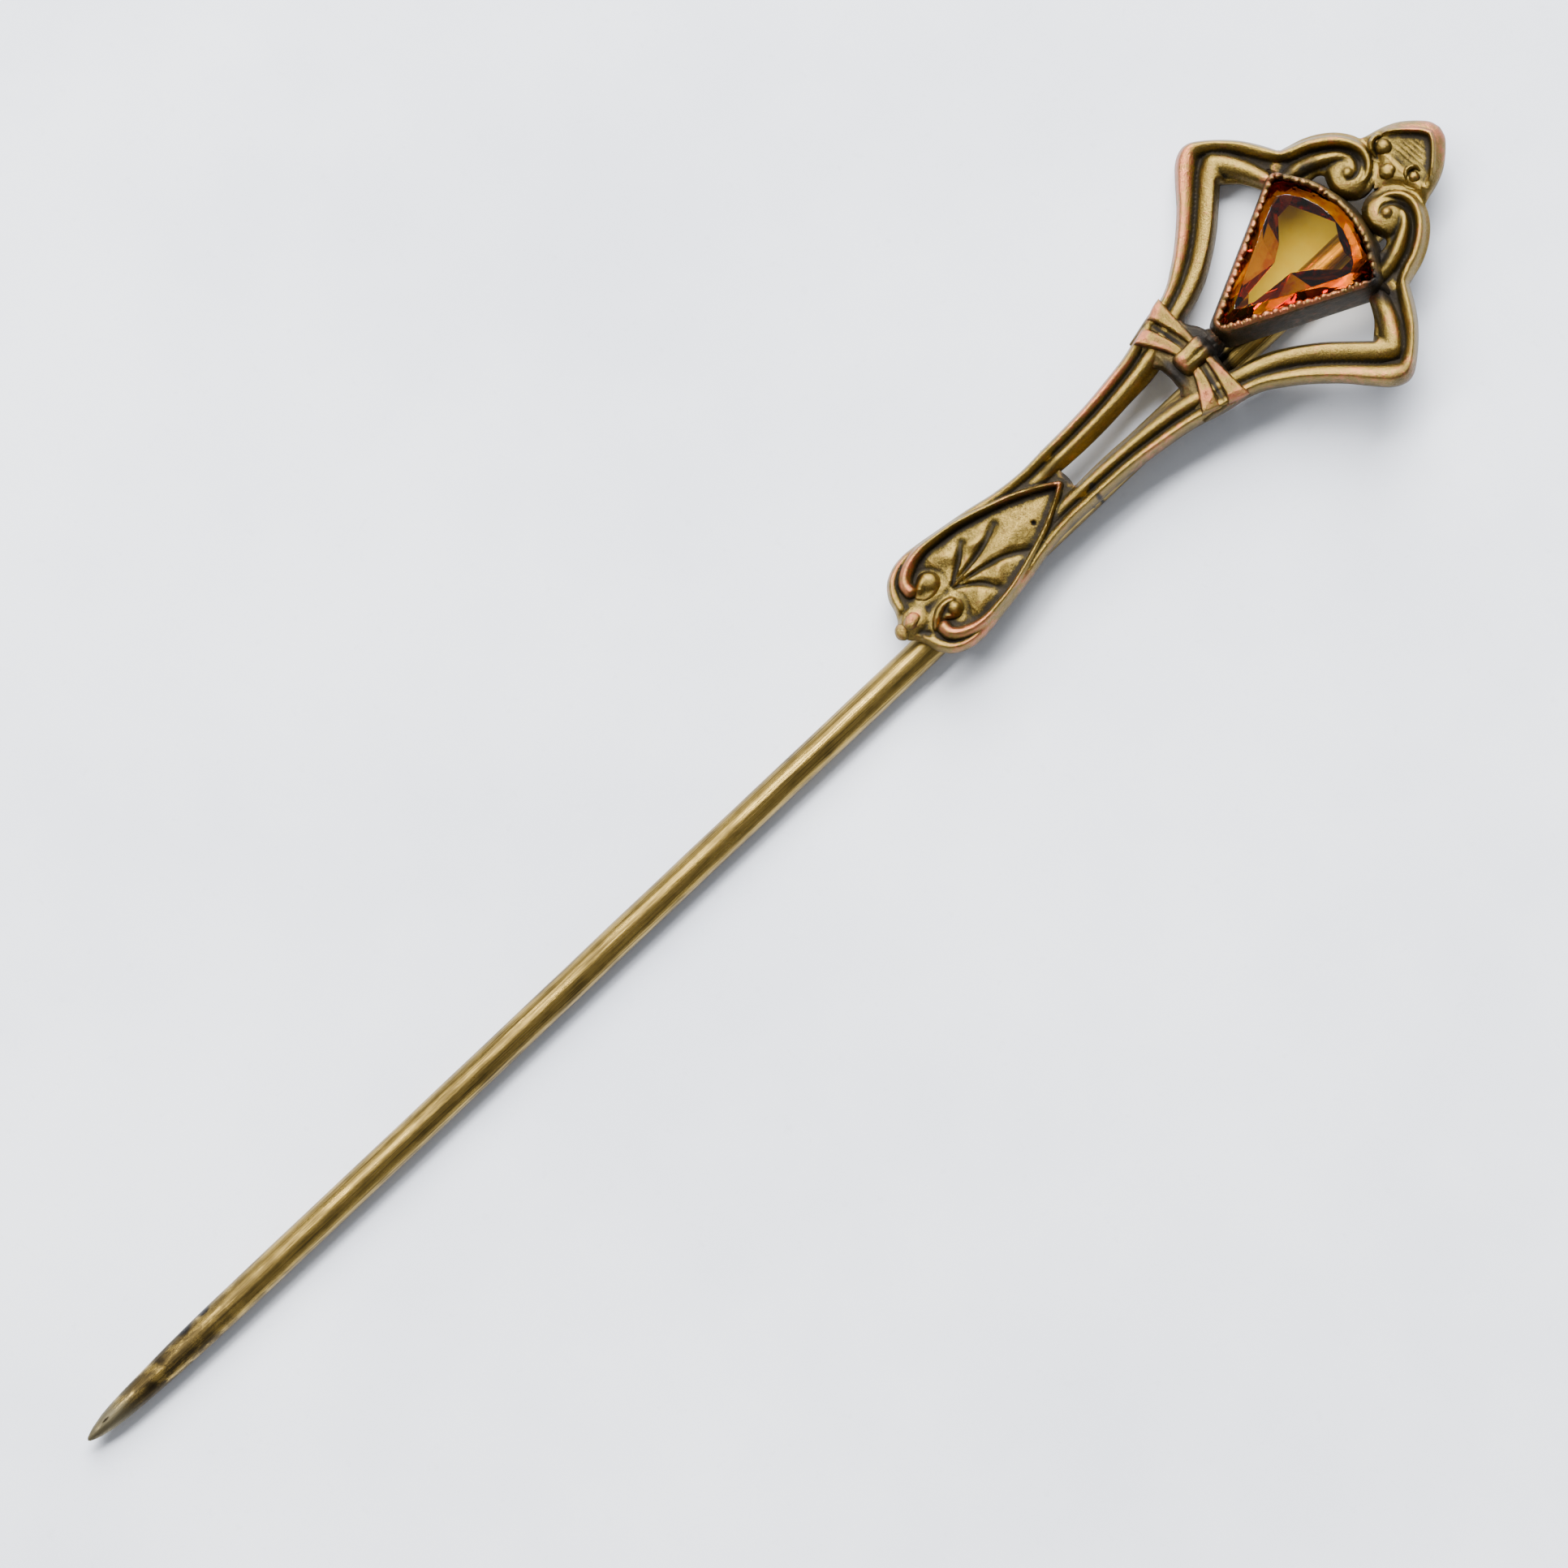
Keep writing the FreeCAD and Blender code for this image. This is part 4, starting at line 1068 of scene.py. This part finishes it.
def kite(grow, per_side=34, per_bend=10):
    """The stone's rounded kite moved outwards, always with the same number of points."""
    corners = []
    for (x, y, r), (right, up) in zip(KITE, GROWTH):
        corners.append((x + right * grow, y + up * grow, max(r + grow, 0.06) if r < 1 else r))
    corners += [(-x, y, r) for x, y, r in corners[2:0:-1]]
    bends = []
    for i, (x, y, r) in enumerate(corners):
        here = Vector((x, y))
        before = (Vector(corners[i - 1][:2]) - here).normalized()
        after = (Vector(corners[(i + 1) % len(corners)][:2]) - here).normalized()
        half = before.angle(after) / 2
        middle = here + (before + after).normalized() * (r / math.sin(half))
        spoke = here + before * (r / math.tan(half)) - middle
        angles = np.linspace(0, math.pi - 2 * half, per_bend)
        bends.append([middle + Matrix.Rotation(a, 2) @ spoke for a in angles])
    line = []
    for bend, onward in zip(bends, bends[1:] + bends[:1]):
        line += bend
        line += [bend[-1].lerp(onward[0], k / per_side) for k in range(1, per_side)]
    return np.array([tuple(p) for p in line])


def band(name, slot, rings, sharp_angle=None):
    """A closed band: its cross-section is the list of rings, each a loop round the kite."""
    keep(swept(name, rings + rings[:1], caps=False, sharp_angle=sharp_angle), name, slot)


def collet():
    ripple = waves(kite(0.26), 1.4, 91)
    wall = [
        (0.24, 0), (0.27, 0.05), (0.235, 0.22), (0.2, 0.42), (0.165, 0.65), (0.13, 0.88), (0.095, 1.08),
        (0.06, 1.26), (0.035, 1.38), (0.01, 1.42), (-0.1, 1.42), (-0.17, 1.4), (-0.17, 1.26), (-0.17, 0.8),
        (-0.17, 0.4), (-0.17, 0.05), (-0.15, 0),
    ]
    rings = []
    for grow, z in wall:
        dent = 0.012 * ripple * (0.2 if grow < 0 else math.sin(math.pi * min(z / WALL_HIGH, 1)))
        ring = kite(grow)
        away = ring - (0.0, -0.2)
        rings.append(at_height(ring + away / np.hypot(*away.T)[:, None] * dent[:, None], z))
    band("bezel_wall", "dark_brass", rings, sharp_angle=60)
    ledge = [
        (-0.18, 0.72), (-0.18, 0.95), (-0.22, 0.955), (-0.33, 0.88), (-0.36, 0.84), (-0.35, 0.73),
        (-0.32, 0.72),
    ]
    band("bezel_seat", "dark_brass", [at_height(kite(grow), z) for grow, z in ledge], sharp_angle=40)


def milgrain_rim():
    """The lip burnished over the stone, nicked into grains by a milgrain wheel and worn since."""
    fine = {"per_side": 120, "per_bend": 30}
    around = kite(-0.12, **fine)
    far = distances(looped(around))
    total, far = far[-1], far[:-1]
    grains = 56
    random = np.random.default_rng(4)
    wander = 0.22 * np.interp(far, np.linspace(0, total, 30), random.normal(size=30), period=total)
    grain = np.abs(np.sin((far / total * grains + wander) * math.pi)) ** 0.6
    sizes = np.append(random.uniform(0.25, 1.0, grains), 0.7)
    grain_size = np.interp(far, np.linspace(0, total, grains + 1), sizes)
    x, y = around.T
    at_tip = np.clip(1 - np.hypot(x, y + 3.35) / 0.65, 0, 1)
    at_top = rise(y, 1.5, 2.2)
    at_corner = np.clip(1 - np.hypot(x - 2.2, y - 1.25) / 0.55, 0, 1)
    calm = (1 - 0.85 * at_tip) * (1 - 0.45 * at_top) * (1 - 0.7 * at_corner)
    bite = 0.13 * grain * grain_size * calm
    height = RIM_HIGH - 0.19 * (1 - grain * grain_size) * calm
    rough = 0.012 * waves(around, 0.22, 14)
    # growth of the kite, share of the height, share of the grains' depth
    profile = [
        (0.01, 0, 0), (0.015, 0.15, 0.1), (0, 0.5, 0.2), (-0.04, 0.78, 0.4), (-0.08, 0.94, 0.7),
        (-0.12, 1, 1), (-0.17, 0.93, 1), (-0.205, 0.72, 1), (-0.225, 0.42, 0.8), (-0.225, 0.14, 0.6),
        (-0.2, 0, 0.3),
    ]
    rings = []
    for grow, up, share in profile:
        ring = kite(grow, **fine)
        way = kite(grow + 0.2, **fine) - ring
        way /= np.maximum(np.hypot(*way.T), 1e-6)[:, None]
        inwards = share * (bite - 0.05) * (1 if grow < -0.08 else 0.3) + rough * share
        rings.append(at_height(ring - way * inwards[:, None], WALL_HIGH + up * (height + rough * (up > 0.4))))
    band("bezel_rim", "copper_rim", rings)


FOOT = [
    (-0.46, -3.94), (-0.44, -3.55), (-0.32, -3.36), (0, -3.3), (0.32, -3.36), (0.44, -3.55), (0.46, -3.94),
    (0, -3.97),
]
SIDE_SOLDER = [
    (2.3, 0.94), (2.55, 0.92), (2.86, 1.02), (3, 1.28), (2.9, 1.56), (2.6, 1.66), (2.34, 1.6), (2.24, 1.25),
]


def bezel_foot():
    def height(P):
        ridge = np.exp(-((P[:, 0] / 0.26) ** 2)) * rise(P[:, 1], -4.1, -3.6)
        return 0.66 + 0.20 * ridge + 0.03 * waves(P, 0.4, 95)

    outline = curve(FOOT, corners=(0, 6), closed=True)
    strike("bezel_foot", "solder", outline, height, lip=0.4, roll=0.16, step=0.035)


def side_solder(side, way):
    def height(P):
        P = on_side(way, P)
        return 0.50 + 0.34 * np.exp(-(((P[:, 0] - 2.40) / 0.30) ** 2)) + 0.03 * waves(P, 0.35, 97)

    outline = on_side(way, curve(SIDE_SOLDER, closed=True))
    strike("bezel_solder_" + side, "solder", outline, height, lip=0.20, roll=0.28, step=0.035)


collet()
milgrain_rim()
bezel_foot()
both(side_solder)

# ---- stone

STONE_EDGE = [
    (0, -3.42), (0.16, -3.24), (1.12, -1.4), (2.14, 0.7), (2.27, 1.14), (2.06, 1.48), (1.44, 1.88),
    (0.72, 2.14), (0, 2.22),
]
WINDOW_RIGHT = [
    (0, -2.02), (0.08, -1.8), (0.2, -0.35), (0.62, 0.24), (1.24, 0.86), (1.22, 1.34), (0.9, 1.32),
    (0.46, 1.5), (0, 1.78),
]
WINDOW_LEFT = [
    (-0.26, -1.75), (-0.4, -0.5), (-0.74, 0.02), (-1.4, 0.6), (-1.44, 1.12), (-1.14, 1.26), (-0.6, 1.52),
]
WINDOW_Z, TABLE_Z = 0.14, 1.83


def shrink(points, share, y=0.25):
    return [(x * share, y + (py - y) * share) for x, py in points]


def halfway(points, others, share):
    """Points over the middles of the sides, a share of the way from one outline to another."""
    ring = []
    for i in range(len(points)):
        k = (i + 1) % len(points)
        a = Vector(points[i]).lerp(Vector(points[k]), 0.5)
        b = Vector(others[i]).lerp(Vector(others[k]), 0.5)
        ring.append(tuple(a.lerp(b, share)))
    return ring


def stone():
    """Cut glass: a crown of facets round a big table, a steep pavilion round a clear flat window."""
    edge = STONE_EDGE + [(-x, y) for x, y in STONE_EDGE[-2:0:-1]]
    window = WINDOW_RIGHT + WINDOW_LEFT[::-1]
    table = shrink(edge, 0.76)
    # outline, height, and whether its points lie over the middles of the sides
    layers = [
        (window, WINDOW_Z, False),
        (halfway(edge, window, 0.46), 0.60, True),
        (shrink(edge, 0.985), 0.97, False),
        (edge, 1.00, False),
        (edge, 1.16, False),
        (halfway(edge, table, 0.42), 1.52, True),
        (table, TABLE_Z, False),
    ]
    n = len(edge)
    verts = [(x, y, z) for ring, z, _ in layers for x, y in ring]
    faces = [tuple(range(n))[::-1], tuple((len(layers) - 1) * n + i for i in range(n))]
    for j in range(len(layers) - 1):
        low, high = layers[j][2], layers[j + 1][2]
        for i in range(n):
            a, b = j * n + i, j * n + (i + 1) % n
            c, d = a + n, b + n
            if low == high:
                faces.append((a, b, d, c))
            elif high:
                faces += [(a, b, c), (b, d, c)]
            else:
                faces += [(a, b, d), (a, d, c)]
    gem = finish_mesh("stone", verts, faces, smooth=False)
    keep(gem, "stone", "amber_glass")
    # the facets get the painted deeper orange of the light's longer way through the stone, the window and the
    # table stay clear
    levels = [face.center.z / MM - BACK_Z for face in gem.data.polygons]
    flank = gem.data.attributes.new("flank", "FLOAT", "FACE")
    flank.data.foreach_set("value", [float(WINDOW_Z + 0.01 < z < TABLE_Z - 0.03) for z in levels])
    facet_edges = gem.modifiers.new("worn facet edges", "BEVEL")
    facet_edges.width = 0.008 * MM
    facet_edges.segments = 2
    facet_edges.limit_method = "ANGLE"
    facet_edges.angle_limit = math.radians(6)


stone()

# ---- stem

stem_low, stem_high = (np.array(corner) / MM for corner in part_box("stem"))
STEM_X = 0.5 * (stem_low[0] + stem_high[0])
STEM_Z = 0.5 * (stem_low[2] + stem_high[2]) - BACK_Z
STEM_LOW = stem_low[1] - SHOULDER_Y
STEM_TOP = stem_high[1] - SHOULDER_Y
# distance from the point, and the radius there
POINT = [
    (0, 0.02), (0.05, 0.08), (0.2, 0.145), (0.42, 0.215), (0.9, 0.315), (1.4, 0.37), (1.9, 0.4),
    (2.9, 0.445), (3.9, 0.485), (5.5, 0.515), (7.5, 0.525),
]


def stem():
    lengths, radii = np.array(POINT).T
    ys = np.concatenate([
        STEM_LOW + np.linspace(0, 1.0, 24, endpoint=False) ** 1.6,
        np.arange(STEM_LOW + 1.0, STEM_TOP - 0.12, 0.16),
        STEM_TOP - np.array([0.10, 0.05, 0.02, 0.0]),
    ])
    angles = np.linspace(0, 2 * math.pi, 72, endpoint=False)
    random = np.random.default_rng(6)
    marks = [(k, random.uniform(0, 6), random.uniform(-0.4, 0.4)) for k in (3, 5, 9, 14, 19, 26)]
    rings = []
    for y in ys:
        r = np.interp(y - STEM_LOW, lengths, radii)
        if y > STEM_TOP - 0.11:
            r *= 1 - 0.30 * ((y - STEM_TOP + 0.11) / 0.11) ** 2
        full = min(r / 0.4, 1)
        bend = 0.010 * math.sin(y * 0.31 + 1.0) + 0.004 * math.sin(y * 1.7)
        fluting = sum(0.84 * np.sin(k * angles + phase + drift * y) / k for k, phase, drift in marks)
        radius = r + 0.0035 * fluting * full - 0.008
        x = STEM_X + bend * full * 0.5 + radius * np.cos(angles)
        rings.append(np.column_stack([x, np.full(len(angles), y), STEM_Z + radius * np.sin(angles)]))
    keep(swept("stem", rings), "stem", "stem_brass")


def stem_solder(node, wide):
    """Solder drawn into the corner between the stem and the head's back."""
    y0, y1 = (corner.y / MM - SHOULDER_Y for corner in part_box(node))
    random = np.random.default_rng(12)
    outline = []
    for side in (1, -1):
        for y in np.linspace(y0 + 0.12, y1 - 0.12, 14)[::side]:
            outline.append((STEM_X + side * (wide + random.uniform(-0.05, 0.04)), y))
        outline.append((STEM_X, y1 if side > 0 else y0))
    loop = even_loop(curve(outline, closed=True), 0.05)
    middle = np.array((STEM_X, 0.5 * (y0 + y1)))
    rings = []
    for inset, z in ((0.12, -0.02), (0.0, -0.005), (0.0, -0.07), (0.06, -0.20), (0.13, -0.34), (0.22, -0.43)):
        shrunk = (1 - inset / wide, 1 - inset * 2 / (y1 - y0))
        rings.append(at_height(middle + (loop - middle) * shrunk, z))
    keep(swept(node, rings, sharp_angle=50), node, "solder")


stem()
stem_solder("stem_solder_top", 0.56)
stem_solder("stem_solder_leaf", 0.38)

# ---- ground, light, camera

# The pin rests on its stem and on one edge of the head, so the table leans in the row frame.
LEAN = math.radians(10.28)
TABLE_HIGH = 0.117 * MM
VIEW_MIDDLE = Vector((0.81, 0.5, 1.0)) * MM
normal = Vector((math.sin(LEAN), 0.0, math.cos(LEAN)))
lengthwise = Vector((0.0, 1.0, 0.0))
across = lengthwise.cross(normal)


def spot(right, up, away):
    """A place given by distances (m) across, along and above the table from the view's middle."""
    return across * right + lengthwise * up + normal * away + VIEW_MIDDLE


def ground():
    size, count = 0.9, 24
    shares = [i / count - 0.5 for i in range(count + 1)]
    verts = [normal * TABLE_HIGH + across * size * u + lengthwise * size * v for v in shares for u in shares]
    starts = [j * (count + 1) + i for j in range(count) for i in range(count)]
    me = bpy.data.meshes.new("ground")
    me.from_pydata(verts, [], [(a, a + 1, a + count + 2, a + count + 1) for a in starts])
    me.update()
    me.materials.append(table_top("table_top"))
    floor = bpy.data.objects.new("ground", me)
    bpy.context.scene.collection.objects.link(floor)


def aimed(name, data, place, up):
    """A light or camera at a place, looking at the middle of the view."""
    forward = (VIEW_MIDDLE - place).normalized()
    right = forward.cross(up).normalized()
    turn = Matrix((right, right.cross(forward), -forward)).transposed().to_4x4()
    obj = bpy.data.objects.new(name, data)
    bpy.context.scene.collection.objects.link(obj)
    obj.matrix_world = Matrix.Translation(place) @ turn
    return obj


def soft_box(name, place, wide, tall, watts):
    light = bpy.data.lights.new(name, "AREA")
    light.shape = "RECTANGLE"
    light.size, light.size_y = wide, tall
    light.energy = watts
    light.color = (1.0, 0.985, 0.95)
    aimed(name, light, place, lengthwise)


def daylight():
    world = bpy.data.worlds.new("studio")
    world.use_nodes = True
    background = world.node_tree.nodes["Background"]
    background.inputs["Color"].default_value = (0.86, 0.86, 0.86, 1.0)
    background.inputs["Strength"].default_value = 0.50
    bpy.context.scene.world = world


ground()
soft_box("key", spot(-0.37, 0.36, 0.40), 0.44, 0.44, 20.0)
soft_box("strip", spot(-0.36, -0.04, 0.50), 0.10, 0.60, 6.5)
daylight()

CAMERA_AWAY = 0.25
FIELD = 0.05005
VIEW_UP = -0.7270 * across + 0.6867 * lengthwise
lens = bpy.data.cameras.new("camera")
lens.sensor_width = 36.0
lens.angle = 2 * math.atan(FIELD / 2 / CAMERA_AWAY)
lens.clip_start = 0.01
lens.clip_end = 10.0
bpy.context.scene.camera = aimed("camera", lens, spot(0, 0, CAMERA_AWAY), VIEW_UP)

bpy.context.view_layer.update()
